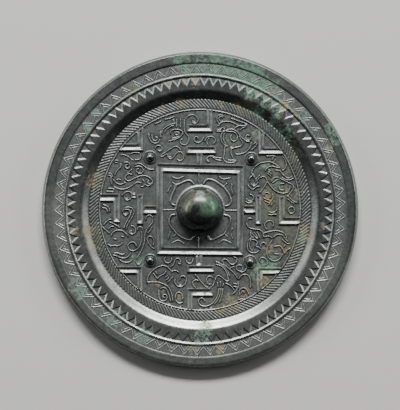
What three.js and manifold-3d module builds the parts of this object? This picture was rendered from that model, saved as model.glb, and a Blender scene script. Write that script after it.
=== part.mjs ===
// A round bronze mirror, lying on its polished face with the cast back uppermost.
// The back has a raised rim with a zigzag and a saw-tooth band, a square frame around a pierced
// knob, the T, L and V marks of the old board pattern, and animals between them.
// Millimetres, +Z up. The polished face is the plane Z = 0 and its centre is the origin.

import * as THREE from 'three';
import { mergeVertices } from 'three/addons/utils/BufferGeometryUtils.js';
import Module from 'manifold-3d';

const wasm = await Module();
wasm.setup();

// Heights above the polished face, in eighths of a millimetre, so that what stands on a floor
// meets it exactly.
const FIELD = 2.5;
const RIM = 5.0;
const ZIGZAG_FLOOR = 4.5;
const FILLET = 4.875;
const TOOTH_FLOOR = 4.375;
const TOOTH_TOP = 4.75;
const BASE_BAND = 4.875;

// The plate and the steps of its rim, from the edge inwards.
const PLATE_RADIUS = 70;
const PLATE_SEGMENTS = 80;
const RIM_OUTER = 68.8;
const ARRIS = 0.5;
const ZIGZAG_OUTER = 65.0;
const ZIGZAG_INNER = 60.1;
const TOOTH_OUTER = 58.45;
const TOOTH_INNER = 54.7;
const SLOPE_TOP = 52.75;
const SLOPE_FOOT = 48.95;
const RING_RADIUS = 44.45;
const RING_HALF_WIDTH = 0.45;
const RING_HEIGHT = 0.4;
const STEP_DRAFT = 0.1; // half the lean of each small step

// The repeating borders.
const ZIGZAG = { count: 69, first: 2.75, outer: 64.0, inner: 60.9, width: 0.7, height: 0.35 };
const TEETH = { count: 87, first: 1.1, root: 54.4, tip: 58.0, hidden: 53.4 };

// The knob, its low seat and the passage for a cord.
const KNOB = { radius: 9.6, rise: 8.5, centre: 4.0, segments: 28, rings: 7 };
const SEAT = { radius: 10.6, height: 0.375, segments: 36 };
const PASSAGE = { width: 6.0, wall: 2.6, crown: 2.3, steps: 8 };

// The four small bosses and the low ring that each stands on.
const BOSS = { radius: 1.8, rise: 1.9, seat: 3.0, seatRise: 0.375, segments: 12 };
const BOSSES = [[-22.1, 23.2], [22.7, 22.6], [22.1, -23.0], [-22.0, -22.4]];

// Hollow-faced bands: the square frame, T, L and V marks.
const BAND = { width: 3.1, height: 0.75, hollow: 0.25 };
const FRAME_WIDTH = 3.5;
const FRAME_CORNERS = [[-17.9, 18.85], [18.1, 17.9], [17.6, -18.35], [-17.55, -17.95]];
// One row a side, in the side's own frame: the bar runs along u, the stem and the hook along v.
// The mould was cut by hand, so the sides differ a little.
const SIDES = [
  { turn: 0, barFrom: -6.1, barTo: 7.2, bar: 26.55, stem: -0.25, hookFrom: -5.7, hook: 36.2, arm: 4.25 },
  { turn: 1, barFrom: -6.2, barTo: 6.8, bar: 26.5, stem: 0.2, hookFrom: -5.5, hook: 36.8, arm: 5.5 },
  { turn: 2, barFrom: -6.4, barTo: 5.8, bar: 26.0, stem: 0.4, hookFrom: -5.9, hook: 36.3, arm: 4.45 },
  { turn: 3, barFrom: -6.3, barTo: 6.3, bar: 25.75, stem: 0.3, hookFrom: -6.0, hook: 36.15, arm: 4.75 },
];
const FRAME_EDGE = 19.4;
const BRACKET_CORNERS = [[-26.45, 27.75], [27.1, 26.1], [26.3, -26.85], [-26.6, -26.45]];

// Raised lines: the leaves around the knob and the animals.
const LINE = { width: 0.9, height: 0.4 };
const LEAF = [[1.7, 11.2], [4.0, 13.5], [10.3, 10.4], [13.5, 4.0], [11.2, 1.7]];
const LEAF_POINT = [[10.4, 10.4], [12.1, 12.0]];
const CHEVRON = [[7.6, 14.7], [10.2, 13.6], [12.9, 14.5]];
const SPOKE = [[0, 10.2], [0, 16.6]];

// The animals and scrolls, each a smooth line through a few points, field by field.
const FIGURES = [
  // north-west: long-necked beast and the scroll beside it
  [[-1.0, 39.3], [-3.6, 42.1], [-6.9, 38.2], [-4.9, 30.8], [-8.4, 29.3]],
  [[-13.0, 33.8], [-10.0, 35.6], [-7.6, 34.2], [-9.3, 31.9], [-13.9, 30.4]],
  [[-10.9, 38.3], [-15.9, 36.0], [-16.9, 33.4]],
  [[-22.6, 33.6], [-20.4, 29.6], [-17.8, 31.0]],
  [[-8.6, 26.4], [-11.4, 27.9], [-17.1, 24.4]],
  [[-14.4, 24.4], [-12.8, 22.6], [-9.2, 25.7], [-7.2, 23.4], [-9.4, 22.0]],
  // north: small scrolls around the T
  [[1.4, 31.9], [-1.6, 29.8], [-1.6, 32.3]],
  [[2.3, 30.4], [5.2, 32.4], [5.9, 29.3]],
  [[4.6, 21.4], [3.4, 23.4], [9.6, 22.9]],
  // north-east: striding beast
  [[9.8, 40.9], [7.6, 39.6], [8.9, 37.8], [14.0, 38.8], [20.8, 37.9]],
  [[10.3, 34.5], [15.0, 35.3], [18.0, 31.2], [18.4, 28.5], [14.0, 26.9]],
  [[10.4, 34.6], [9.3, 31.6], [12.2, 28.1]],
  [[14.0, 33.0], [14.9, 30.4], [16.4, 32.8], [13.0, 34.6]],
  [[11.1, 28.2], [10.5, 23.0], [13.1, 20.9], [15.7, 21.6]],
  [[15.8, 24.6], [20.4, 25.8], [22.7, 29.6]],
  [[21.2, 33.0], [20.5, 31.1], [22.6, 31.8]],
  // east, above the T
  [[22.7, 16.4], [28.6, 21.1], [34.9, 19.1]],
  [[28.8, 17.2], [31.6, 19.2], [37.2, 17.8], [36.6, 23.4]],
  [[24.9, 12.6], [28.1, 14.7], [29.6, 12.4], [26.3, 7.7]],
  [[21.3, 10.9], [23.6, 9.2], [26.3, 10.4]],
  [[29.9, 12.3], [33.4, 8.5], [39.2, 8.0]],
  [[35.4, 13.9], [41.2, 10.4], [39.3, 6.4]],
  // east, beside the T and inside the L
  [[28.4, 6.6], [30.8, 7.0], [30.4, 4.6]],
  [[22.1, 6.9], [23.5, 4.7], [20.5, 4.9]],
  [[41.7, 0.4], [40.2, 1.3], [39.0, -0.3], [40.6, -1.4], [41.7, 0.2]],
  [[29.4, -8.4], [29.4, -5.2], [32.2, -7.4]],
  [[22.9, -4.0], [20.6, -5.6], [24.4, -8.5], [28.1, -12.0]],
  // south-east: coiled beast
  [[28.6, -10.2], [33.6, -9.2], [38.3, -12.6]],
  [[32.4, -12.2], [35.2, -10.8], [38.9, -14.0]],
  [[31.6, -13.8], [29.6, -18.6], [33.4, -22.5], [36.6, -19.4], [35.0, -16.0], [32.8, -16.3]],
  [[22.6, -12.5], [21.0, -16.4], [25.9, -18.2]],
  [[26.5, -22.4], [28.9, -21.4], [29.5, -24.4]],
  // south-east, towards the bottom T
  [[7.2, -23.4], [11.0, -26.6], [12.5, -30.6]],
  [[10.3, -23.3], [10.8, -21.8], [14.7, -24.1], [15.2, -20.9]],
  [[10.6, -24.4], [14.6, -27.6], [16.8, -30.4]],
  [[18.9, -25.7], [17.2, -24.4], [16.4, -26.0], [18.0, -27.1], [18.9, -25.9]],
  [[17.2, -30.6], [20.4, -28.5], [22.4, -34.2]],
  [[17.5, -36.6], [19.0, -34.5], [21.5, -37.2]],
  // south: curls around the T and inside the L
  [[-0.7, -31.3], [-3.1, -32.0], [-1.9, -34.3]],
  [[-2.2, -28.4], [2.2, -33.6], [8.0, -29.0], [12.6, -31.2]],
  [[1.9, -40.4], [-0.4, -40.0], [2.0, -42.5], [8.6, -34.2]],
  // south-west: bird with raised wing
  [[-23.2, -31.4], [-21.8, -27.7], [-16.5, -24.6], [-12.8, -26.9]],
  [[-23.0, -31.9], [-16.4, -32.4], [-13.0, -35.6], [-12.2, -40.2]],
  [[-18.1, -35.6], [-16.8, -40.1], [-14.2, -38.4], [-16.4, -37.8]],
  [[-8.8, -30.6], [-6.6, -29.8], [-8.0, -33.9], [-11.1, -32.2]],
  [[-7.7, -39.4], [-9.6, -36.4], [-9.4, -41.0]],
  [[-15.4, -21.4], [-14.2, -23.4], [-12.4, -21.5]],
  [[-12.6, -25.0], [-9.8, -21.5], [-9.2, -23.9]],
  // west, below the T: round-faced beast and twined tails
  [[-39.3, -11.5], [-35.6, -8.9], [-31.8, -11.8]],
  [[-40.6, -15.3], [-37.0, -15.9], [-34.4, -14.6]],
  [[-28.2, -16.2], [-30.0, -14.3], [-31.8, -16.2], [-30.0, -18.1], [-25.8, -13.2], [-26.0, -9.6]],
  [[-22.4, -2.4], [-21.0, -5.4], [-24.4, -12.0], [-28.0, -21.4]],
  [[-38.2, -20.0], [-34.0, -21.3], [-30.8, -19.2]],
  // west, beside the T
  [[-34.2, -0.8], [-31.2, 1.1], [-29.8, -3.0], [-32.6, -8.4]],
  [[-34.8, 7.0], [-31.2, 8.1], [-30.8, 4.8], [-33.0, 4.9]],
  // north-west, above the T: beast with a trailing tail
  [[-34.6, 24.2], [-29.4, 21.9], [-26.2, 23.6], [-29.6, 25.2]],
  [[-33.2, 20.9], [-31.0, 19.6], [-33.0, 19.0]],
  [[-37.9, 12.8], [-35.0, 11.3], [-30.4, 13.1], [-23.8, 15.0], [-21.2, 12.2], [-23.0, 12.4]],
  [[-37.8, 10.2], [-33.4, 9.2], [-28.0, 12.1], [-26.0, 11.7]],
  [[-28.4, 19.0], [-25.3, 17.2], [-28.0, 17.2]],
  [[-28.6, 20.0], [-25.0, 19.8], [-20.6, 17.9]],
];

const FULL_TURN = 2 * Math.PI;

function onCircle(radius, degrees) {
  const angle = THREE.MathUtils.degToRad(degrees);
  return [radius * Math.cos(angle), radius * Math.sin(angle)];
}

// Turns a closed geometry into a solid that can be joined and cut.
function toSolid(geometry) {
  geometry.deleteAttribute('normal');
  geometry.deleteAttribute('uv');
  const merged = mergeVertices(geometry, 1e-5);
  const vertProperties = new Float32Array(merged.attributes.position.array);
  const triVerts = new Uint32Array(merged.index.array);
  return new wasm.Manifold(new wasm.Mesh({ numProp: 3, vertProperties, triVerts }));
}

// Turns a list of [radius, height] around the Z axis, in the order bottom, edge, top.
function turned(profile, segments) {
  const points = profile.map(([radius, height]) => new THREE.Vector2(radius, height));
  const geometry = new THREE.LatheGeometry(points, segments);
  geometry.rotateX(Math.PI / 2);
  return geometry;
}

// Sweeps a section of [offset, height] points, listed anticlockwise, along a flat path
// with mitred corners; an open path gets a flat cap at each end.
function moulding(path, section, closed = false) {
  const across = section.length;
  const legs = path.map((point, i) => {
    const next = path[(i + 1) % path.length];
    return new THREE.Vector2(next[0] - point[0], next[1] - point[1]).normalize();
  });
  const positions = [];
  path.forEach(([x, y], i) => {
    const into = closed || i > 0 ? legs[(i - 1 + path.length) % path.length] : legs[0];
    const away = closed || i < path.length - 1 ? legs[i] : into;
    const mitre = 1 / (1 + into.dot(away));
    const sideX = -(into.y + away.y) * mitre;
    const sideY = (into.x + away.x) * mitre;
    section.forEach(([offset, height]) => positions.push(x + sideX * offset, y + sideY * offset, height));
  });
  const triangles = [];
  const spans = closed ? path.length : path.length - 1;
  for (let i = 0; i < spans; i += 1) {
    const here = i * across;
    const there = ((i + 1) % path.length) * across;
    for (let j = 0; j < across; j += 1) {
      const k = (j + 1) % across;
      triangles.push(here + j, here + k, there + k, here + j, there + k, there + j);
    }
  }
  if (!closed) {
    const last = (path.length - 1) * across;
    const outline = section.map(([offset, height]) => new THREE.Vector2(offset, height));
    THREE.ShapeUtils.triangulateShape(outline, []).forEach(([a, b, c]) => {
      triangles.push(c, b, a, last + a, last + b, last + c);
    });
  }
  const geometry = new THREE.BufferGeometry();
  geometry.setAttribute('position', new THREE.Float32BufferAttribute(positions, 3));
  geometry.setIndex(triangles);
  return toSolid(geometry);
}

// A ridge of triangular section standing on a floor.
function ridge(path, floor, { width, height }, closed = false) {
  const section = [[-width / 2, floor], [width / 2, floor], [0, floor + height]];
  return moulding(path, section, closed);
}

// A band with upright sides and a hollow face.
function band(path, width = BAND.width, closed = false) {
  const half = width / 2;
  const top = FIELD + BAND.height;
  const section = [[-half, FIELD], [half, FIELD], [half, top], [0, FIELD + BAND.hollow], [-half, top]];
  return moulding(path, section, closed);
}

// A smooth path through a few points, with two straight steps between neighbours.
function smooth(points) {
  const curve = new THREE.CatmullRomCurve3(points.map(([x, y]) => new THREE.Vector3(x, y, 0)));
  return curve.getPoints(2 * (points.length - 1)).map(({ x, y }) => [x, y]);
}

// Turns [u, v] of a side, with v pointing away from the knob, by a number of quarter turns.
function quarterTurn([u, v], turn) {
  const angle = (turn * Math.PI) / 2;
  return [u * Math.cos(angle) - v * Math.sin(angle), u * Math.sin(angle) + v * Math.cos(angle)];
}

function makePlate() {
  const step = (radius, outside, inside) => [[radius + STEP_DRAFT, outside], [radius - STEP_DRAFT, inside]];
  return toSolid(turned([
    [0, 0],
    [PLATE_RADIUS - ARRIS, 0],
    [PLATE_RADIUS, ARRIS],
    [RIM_OUTER + STEP_DRAFT, RIM - ARRIS / 2],
    [RIM_OUTER - ARRIS / 2, RIM],
    ...step(ZIGZAG_OUTER, RIM, ZIGZAG_FLOOR),
    ...step(ZIGZAG_INNER, ZIGZAG_FLOOR, FILLET),
    ...step(TOOTH_OUTER, FILLET, TOOTH_FLOOR),
    ...step(TOOTH_INNER, TOOTH_FLOOR, BASE_BAND),
    [SLOPE_TOP, BASE_BAND],
    [SLOPE_FOOT, FIELD],
    [RING_RADIUS + RING_HALF_WIDTH, FIELD],
    [RING_RADIUS, FIELD + RING_HEIGHT],
    [RING_RADIUS - 1.2 * RING_HALF_WIDTH, FIELD - 0.2 * RING_HEIGHT],
    [RING_RADIUS - 1.2 * RING_HALF_WIDTH, FIELD / 2],
    [0, FIELD / 2],
  ], PLATE_SEGMENTS));
}

// The field inside the thin ring: its floor with all that stands on it, cut round.
function makeField(raised) {
  const floor = new THREE.BoxGeometry(2 * PLATE_RADIUS, 2 * PLATE_RADIUS, FIELD);
  floor.translate(0, 0, FIELD / 2);
  const bottom = FIELD / 4;
  const round = turned([[0, bottom], [RING_RADIUS, bottom], [RING_RADIUS, RIM], [0, RIM]], PLATE_SEGMENTS);
  return joined([toSolid(floor), ...raised]).intersect(toSolid(round));
}

function makeZigzag() {
  const pitch = 360 / ZIGZAG.count;
  const path = [];
  for (let i = 0; i < ZIGZAG.count; i += 1) {
    path.push(onCircle(ZIGZAG.outer, ZIGZAG.first + i * pitch));
    path.push(onCircle(ZIGZAG.inner, ZIGZAG.first + (i + 0.5) * pitch));
  }
  return ridge(path, ZIGZAG_FLOOR, ZIGZAG, true);
}

function makeTeeth() {
  const pitch = 360 / TEETH.count;
  const outline = [];
  const inside = [];
  for (let i = 0; i < TEETH.count; i += 1) {
    outline.push(new THREE.Vector2(...onCircle(TEETH.root, TEETH.first + i * pitch)));
    outline.push(new THREE.Vector2(...onCircle(TEETH.tip, TEETH.first + (i + 0.5) * pitch)));
    inside.push(new THREE.Vector2(...onCircle(TEETH.hidden, TEETH.first + i * pitch)));
  }
  const shape = new THREE.Shape(outline);
  shape.holes.push(new THREE.Path(inside));
  const depth = TOOTH_TOP - TOOTH_FLOOR;
  const geometry = new THREE.ExtrudeGeometry(shape, { depth, bevelEnabled: false });
  geometry.translate(0, 0, TOOTH_FLOOR);
  return toSolid(geometry);
}

function makeKnob() {
  const start = Math.asin((FIELD - KNOB.centre) / KNOB.rise);
  const profile = [[0, FIELD]];
  for (let i = 0; i < KNOB.rings; i += 1) {
    const angle = THREE.MathUtils.lerp(start, Math.PI / 2, i / KNOB.rings);
    profile.push([KNOB.radius * Math.cos(angle), KNOB.centre + KNOB.rise * Math.sin(angle)]);
  }
  profile.push([0, KNOB.centre + KNOB.rise]);
  const top = FIELD + SEAT.height;
  const seat = [[0, FIELD], [SEAT.radius + STEP_DRAFT, FIELD], [SEAT.radius, top], [0, top]];
  return toSolid(turned(profile, KNOB.segments)).add(toSolid(turned(seat, SEAT.segments)));
}

// The passage runs through the knob from top to bottom of the back, with an arched crown.
function makePassage() {
  const half = PASSAGE.width / 2;
  const floor = FIELD + SEAT.height + 0.02;
  const outline = [new THREE.Vector2(-half, floor), new THREE.Vector2(half, floor)];
  for (let i = 0; i <= PASSAGE.steps; i += 1) {
    const angle = (Math.PI * i) / PASSAGE.steps;
    const height = floor + PASSAGE.wall + PASSAGE.crown * Math.sin(angle);
    outline.push(new THREE.Vector2(half * Math.cos(angle), height));
  }
  const length = 2 * SEAT.radius + 2;
  const shape = new THREE.Shape(outline);
  const geometry = new THREE.ExtrudeGeometry(shape, { depth: length, bevelEnabled: false });
  geometry.translate(0, 0, -length / 2);
  geometry.rotateX(Math.PI / 2);
  return toSolid(geometry);
}

function makeBosses() {
  const shoulder = FIELD + BOSS.seatRise;
  const profile = [[0, FIELD], [BOSS.seat, FIELD], [BOSS.seat - 0.3, shoulder], [BOSS.radius, shoulder]];
  [0.35, 0.7].forEach((share) => {
    const angle = (share * Math.PI) / 2;
    profile.push([BOSS.radius * Math.cos(angle), shoulder + BOSS.rise * Math.sin(angle)]);
  });
  profile.push([0, shoulder + BOSS.rise]);
  return BOSSES.map(([x, y]) => toSolid(turned(profile, BOSS.segments).translate(x, y, 0)));
}

// The T of each side stands on the frame; the L and the V run out to the ring, which cuts them off.
function makeMarks() {
  const marks = [band(FRAME_CORNERS.toReversed(), FRAME_WIDTH, true)];
  const reach = RING_RADIUS + 2;
  const half = BAND.width / 2;
  SIDES.forEach(({ turn, barFrom, barTo, bar, stem, hookFrom, hook, arm }) => {
    const placed = (path) => band(path.map((point) => quarterTurn(point, turn)));
    marks.push(placed([[barFrom, bar], [barTo, bar]]));
    marks.push(placed([[stem, FRAME_EDGE], [stem, bar - half + 0.05]]));
    marks.push(placed([[hookFrom, hook], [arm, hook], [arm, reach]]));
  });
  BRACKET_CORNERS.forEach(([x, y]) => {
    marks.push(band([[Math.sign(x) * reach, y], [x, y], [x, Math.sign(y) * reach]]));
  });
  return marks;
}

function makeLeaves() {
  const lines = [];
  for (let turn = 0; turn < 4; turn += 1) {
    const placed = (path) => path.map((point) => quarterTurn(point, turn));
    lines.push(ridge(placed(LEAF), FIELD, LINE));
    lines.push(ridge(placed(LEAF_POINT), FIELD, LINE));
    lines.push(ridge(placed(CHEVRON), FIELD, LINE));
    lines.push(ridge(placed(SPOKE), FIELD, LINE));
  }
  return lines;
}

function joined(solids) {
  return solids.reduce((whole, solid) => whole.add(solid));
}

const figures = FIGURES.map((points) => ridge(smooth(points), FIELD, LINE));
const field = makeField([...makeMarks(), ...makeLeaves(), ...figures, ...makeBosses()]);
const casting = joined([makePlate(), makeZigzag(), makeTeeth(), field, makeKnob()])
  .subtract(makePassage());

const { vertProperties, triVerts } = casting.getMesh();
const geometry = new THREE.BufferGeometry();
geometry.setAttribute('position', new THREE.BufferAttribute(vertProperties, 3));
geometry.setIndex(new THREE.BufferAttribute(triVerts, 1));
geometry.computeVertexNormals();

const bronze = new THREE.MeshStandardMaterial({
  name: 'bronze',
  color: 0x4d5552,
  metalness: 0.9,
  roughness: 0.45,
  flatShading: true,
});
const mirror = new THREE.Mesh(geometry, bronze);
mirror.name = 'mirror';

const model = new THREE.Group();
model.add(mirror);

export default model;
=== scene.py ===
import math

import bmesh
import bpy
import numpy as np
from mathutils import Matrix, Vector, noise
from mathutils.geometry import delaunay_2d_cdt


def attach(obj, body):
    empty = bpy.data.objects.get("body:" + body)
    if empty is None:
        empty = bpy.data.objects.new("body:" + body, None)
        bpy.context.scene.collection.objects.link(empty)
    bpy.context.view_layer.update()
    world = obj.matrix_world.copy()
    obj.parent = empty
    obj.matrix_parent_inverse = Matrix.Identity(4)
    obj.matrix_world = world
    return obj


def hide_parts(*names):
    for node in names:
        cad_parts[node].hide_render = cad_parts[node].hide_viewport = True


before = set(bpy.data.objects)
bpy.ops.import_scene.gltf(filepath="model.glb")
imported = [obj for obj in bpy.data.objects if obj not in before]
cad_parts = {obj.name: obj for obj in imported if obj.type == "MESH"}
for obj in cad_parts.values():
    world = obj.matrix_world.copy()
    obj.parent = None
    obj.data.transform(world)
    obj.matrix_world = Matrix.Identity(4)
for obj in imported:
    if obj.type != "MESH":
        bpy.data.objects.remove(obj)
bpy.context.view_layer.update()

# ---- The mirror: profile of the cast disc ----
# The whole mirror is one piece of high-tin bronze, cast in a clay mould. The face was ground flat
# and polished. The back, as cast, steps up from a thin field to a thick rim in plain turned levels.
MM = 0.001
FIELD = 2.5
BASE_BAND = 4.875
ZIGZAG_FLOOR = 4.5
TOOTH_FLOOR = 4.375
NOTCH_OUTER = 58.3
RIM = 5.0
KNOB_HOLE = 10.5  # where the knob and its seat are set in
SEAT_TOP = 2.82
SEAT_FOOT = 11.0
FLAT_END = 68.4   # outer end of the rim's flat top
FACE_RADIUS = 69.5
RIM_STEPS = 720
KNOB_STEPS = 132
MESH_STEP = 0.6  # spacing of points along a line

# (radius, height) of the back from the knob out to the rim's flat top.
LEVELS = [
    (KNOB_HOLE, SEAT_TOP), (10.75, 2.66), (SEAT_FOOT, FIELD), (43.95, FIELD), (44.95, FIELD), (48.95, FIELD),
    (49.3, 2.62), (50.3, 3.3), (51.5, 4.15), (52.5, 4.78), (52.85, BASE_BAND), (54.3, BASE_BAND),
    (NOTCH_OUTER, BASE_BAND), (58.45, TOOTH_FLOOR), (58.8, 4.72), (59.15, 4.9), (59.55, 4.92), (59.95, 4.78),
    (60.25, ZIGZAG_FLOOR), (64.85, ZIGZAG_FLOOR), (65.05, 4.92), (65.35, RIM), (FLAT_END, RIM),
]
# The same from there over the edge and down to the polished face.
EDGE = [
    (FLAT_END, RIM), (68.75, 4.95), (69, 4.78), (69.2, 4.4), (69.45, 3.2), (69.75, 1.8), (69.96, 0.9),
    (70, 0.6), (69.93, 0.28), (69.76, 0.08), (FACE_RADIUS, 0),
]

points = []   # where the back needs a vertex
creases = []  # pairs of points that an edge of the mesh follows


def on_circle(radius, turn):
    """The point at that radius, turn being a share of a full turn from +X towards +Y."""
    return radius * math.cos(math.tau * turn), radius * math.sin(math.tau * turn)


def crease(path, closed=False):
    """Edges of the mesh run through the path's points in turn."""
    first = len(points)
    points.extend(path)
    creases.extend((i, i + 1) for i in range(first, len(points) - 1))
    if closed:
        creases.append((len(points) - 1, first))


def circle(radius, steps):
    return [on_circle(radius, i / steps) for i in range(steps)]


crease(circle(KNOB_HOLE, KNOB_STEPS), closed=True)
crease(circle(FLAT_END, RIM_STEPS), closed=True)
for radius, _ in LEVELS[1:-1]:
    steps = round(math.tau * radius / MESH_STEP)
    crease(circle(radius, KNOB_STEPS if radius <= SEAT_FOOT else steps), closed=True)

# Loose points between the lines carry the slight unevenness of the cast ground.
GROUND_STEP = 1.15
GROUND_MARGIN = 0.5
ROW_SHARE = 0.87  # distance between the rows of an even grid of triangles, in steps
ground_radius = KNOB_HOLE + GROUND_STEP
while ground_radius < FLAT_END - GROUND_MARGIN:
    steps = round(math.tau * ground_radius / GROUND_STEP)
    points.extend(circle(ground_radius, steps))
    ground_radius += GROUND_STEP * ROW_SHARE

# ---- Borders: zigzag, saw teeth, comb strokes and a thin ring ----
# Each was scratched or stamped round the mould in turn, so each is a row of like marks in low
# relief. They are part of the casting: low ridges, and notches with flat floors between the teeth.
ridges = []  # (path, width, height, how pale its crest is rubbed and painted as highlight, how flat it is on top)
END_TURN = math.radians(36)  # a ridge's rounded end goes half round in five of these


def ridge(path, width, height, closed=False, rubbed_and_highlight=0.3, flatness=2):
    """A raised line along the path, with mesh edges along its crest, its flanks and its foot."""
    ridges.append((np.array(path + path[:1] if closed else path), width, height, rubbed_and_highlight, flatness))
    line = np.array(path)
    ahead = np.roll(line, -1, 0) - line
    along = ahead + np.roll(ahead, 1, 0)
    if not closed:
        along[0], along[-1] = ahead[0], ahead[-2]
    along /= np.linalg.norm(along, axis=1)[:, None]
    across = np.stack([-along[:, 1], along[:, 0]], 1)
    crease([tuple(p) for p in line], closed)
    for share in (0.5, 1):
        reach = share * width / 2
        left, right = line + across * reach, line - across * reach
        if closed:
            crease([tuple(p) for p in left], closed)
            crease([tuple(p) for p in right], closed)
            continue
        turns = [(math.cos(END_TURN * k), math.sin(END_TURN * k)) for k in range(1, 5)]
        far_end = [line[-1] + reach * (c * across[-1] + d * along[-1]) for c, d in turns]
        near_end = [line[0] + reach * (-c * across[0] - d * along[0]) for c, d in turns]
        crease([tuple(p) for p in [*left, *far_end, *right[::-1], *near_end]], closed=True)


def stepped(*corners, step=MESH_STEP):
    """Points along straight lines from corner to corner."""
    path = [corners[0]]
    for a, b in zip(corners, corners[1:]):
        count = max(1, round(math.dist(a, b) / step))
        path += [(a[0] + (b[0] - a[0]) * i / count, a[1] + (b[1] - a[1]) * i / count)
                 for i in range(1, count + 1)]
    return path


ZIGZAG_COUNT = 69
ZIGZAG_FIRST = 2.75 / 360  # the first apex, as a share of a turn
ZIGZAG_FOOT = 60.55
ZIGZAG_STEP = 0.9
# Radius of the apex, spread of the feet, width and height: the zigzag, and the one within it.
ZIGZAG_LINES = [(64.3, 1, 0.5, 0.19), (62.75, 0.56, 0.46, 0.16)]
half_pitch = 0.5 / ZIGZAG_COUNT
for i in range(ZIGZAG_COUNT):
    apex = ZIGZAG_FIRST + i / ZIGZAG_COUNT
    for top, spread, width, height in ZIGZAG_LINES:
        left, right = (on_circle(ZIGZAG_FOOT, apex + side * half_pitch * spread) for side in (-1, 1))
        ridge(stepped(left, on_circle(top, apex), right, step=ZIGZAG_STEP), width, height)

COMB_COUNT = 190
COMB_LEAN = 3.9 / 360  # how far round a stroke's outer end is from its inner end
COMB_INNER, COMB_OUTER = 45.35, 48.6
COMB_WIDTH, COMB_HEIGHT = 0.95, 0.13
for i in range(COMB_COUNT):
    turn = i / COMB_COUNT
    stroke = stepped(on_circle(COMB_INNER, turn), on_circle(COMB_OUTER, turn + COMB_LEAN))
    ridge(stroke, COMB_WIDTH, COMB_HEIGHT, rubbed_and_highlight=0.1, flatness=4)

RING_RADIUS = 44.35
RING_STEPS = 480
RING_WIDTH, RING_HEIGHT = 0.8, 0.45
ridge(circle(RING_RADIUS, RING_STEPS), RING_WIDTH, RING_HEIGHT, closed=True, rubbed_and_highlight=0.08)

TEETH_COUNT = 87
TEETH_FIRST = 1.1 / 360  # the first notch
TOOTH_ROOT = 54.75
TOOTH_TIP = 58.15
NOTCH_WALL = 0.7  # width of a notch's leaning wall
NOTCH_REACH = (TOOTH_ROOT - 0.2, NOTCH_OUTER + 0.05)
# The teeth's creep in degrees: all round, to the right, upwards, and to both sides.
CREEP, CREEP_RIGHT, CREEP_UP, CREEP_SIDES = -1.06, 1.5, 0.62, -0.44
SETTLING_ROUNDS = 4


def drift(turn):
    """How far the hand-spaced teeth have crept from even spacing, as a share of a turn."""
    angle = turn * math.tau
    creep = CREEP + CREEP_RIGHT * np.cos(angle) + CREEP_UP * np.sin(angle) + CREEP_SIDES * np.cos(2 * angle)
    return creep / 360


def tooth_turn(count):
    """Where that many pitches from the first notch come out."""
    even = TEETH_FIRST + count / TEETH_COUNT
    turn = even
    for _ in range(SETTLING_ROUNDS):
        turn = even + drift(turn)
    return turn


tooth_edge = Vector(on_circle(TOOTH_TIP, 0.5 / TEETH_COUNT)) - Vector((TOOTH_ROOT, 0))
TOOTH_SLANT = tooth_edge.normalized().y  # distance across an edge, for each millimetre of radius
FLOOR_ROOT = TOOTH_ROOT + NOTCH_WALL / TOOTH_SLANT
# Half the width of a notch's floor, in pitches.
FLOOR_SHARE = (NOTCH_OUTER - FLOOR_ROOT) / (TOOTH_TIP - TOOTH_ROOT) / 2
for i in range(TEETH_COUNT):
    notch, tip, following = tooth_turn(i), tooth_turn(i + 0.5), tooth_turn(i + 1)
    crease(stepped(on_circle(TOOTH_ROOT, notch), on_circle(TOOTH_TIP, tip), on_circle(TOOTH_ROOT, following)))
    crease(stepped(on_circle(NOTCH_OUTER, tooth_turn(i - FLOOR_SHARE)), on_circle(FLOOR_ROOT, notch),
                   on_circle(NOTCH_OUTER, tooth_turn(i + FLOOR_SHARE))))
    crease([on_circle(TOOTH_ROOT, notch), on_circle(FLOOR_ROOT, notch)])


def tooth_cut(radius, turn):
    """How deep the notches between the teeth are, from 0 to 1: flat floors and leaning walls."""
    share = np.abs(((turn - drift(turn) - TEETH_FIRST) * TEETH_COUNT) % 1 - 0.5) * 2
    outside = (radius - TOOTH_TIP + (TOOTH_TIP - TOOTH_ROOT) * share) * TOOTH_SLANT
    among_teeth = (radius > NOTCH_REACH[0]) & (radius < NOTCH_REACH[1])
    return np.where(among_teeth, np.clip(outside / NOTCH_WALL, 0, 1), 0)


# ---- Square frame and the T, L and V marks ----
# The layout of the old board game: a frame round the knob, a T on each side, an L facing it and a
# V at each corner. Each is a low band with a crisp raised edge and a hollow face.
BAND_HEIGHT = 0.75
BAND_HOLLOW = 0.5
BAND_WALL = 0.14
BAND_CREST = 0.42
BAND_FLOOR = 1.38  # from the edge to the narrow floor of the hollow
BAND_STEP = 1.0
CREST_MARGIN = 0.01
RING_INSIDE = 44.0
HOOK_REACH = 46     # the hooks and brackets run on past the ring's inside, where they are cut off
BRACKET_REACH = 42
bands = []  # outlines of the bands: one loop of corners, or two for the frame


def inset(loop, distance):
    """The loop moved inwards by that distance, corners and all. It runs counter-clockwise."""
    moved = []
    for i, corner in enumerate(loop):
        before, here, after = (Vector(p) for p in (loop[i - 1], corner, loop[(i + 1) % len(loop)]))
        first = (here - before).normalized()
        second = (after - here).normalized()
        inwards = Vector((-first.y - second.y, first.x + second.x))
        moved.append(tuple(here + inwards * distance / (1 + first.dot(second))))
    return moved


def band(*loops):
    bands.append([np.array(loop) for loop in loops])
    for loop in loops:
        for distance in (0, BAND_WALL, BAND_CREST, BAND_FLOOR):
            path = inset(loop, distance)
            path = stepped(*path, path[0], step=BAND_STEP)
            kept = [p for p in path if math.hypot(*p) < RING_INSIDE]
            whole = len(kept) == len(path)
            crease(path[:-1] if whole else kept, closed=whole)


FRAME_OUTSIDE = [(-19.1, -19.6), (19.1, -20.1), (19.8, 19.8), (-19.6, 20.7)]
FRAME_INSIDE = [(-16.2, 17.0), (16.4, 16.0), (16.1, -16.6), (-16.0, -16.3)]  # clockwise, as a hole runs
band(FRAME_OUTSIDE, FRAME_INSIDE)


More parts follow.
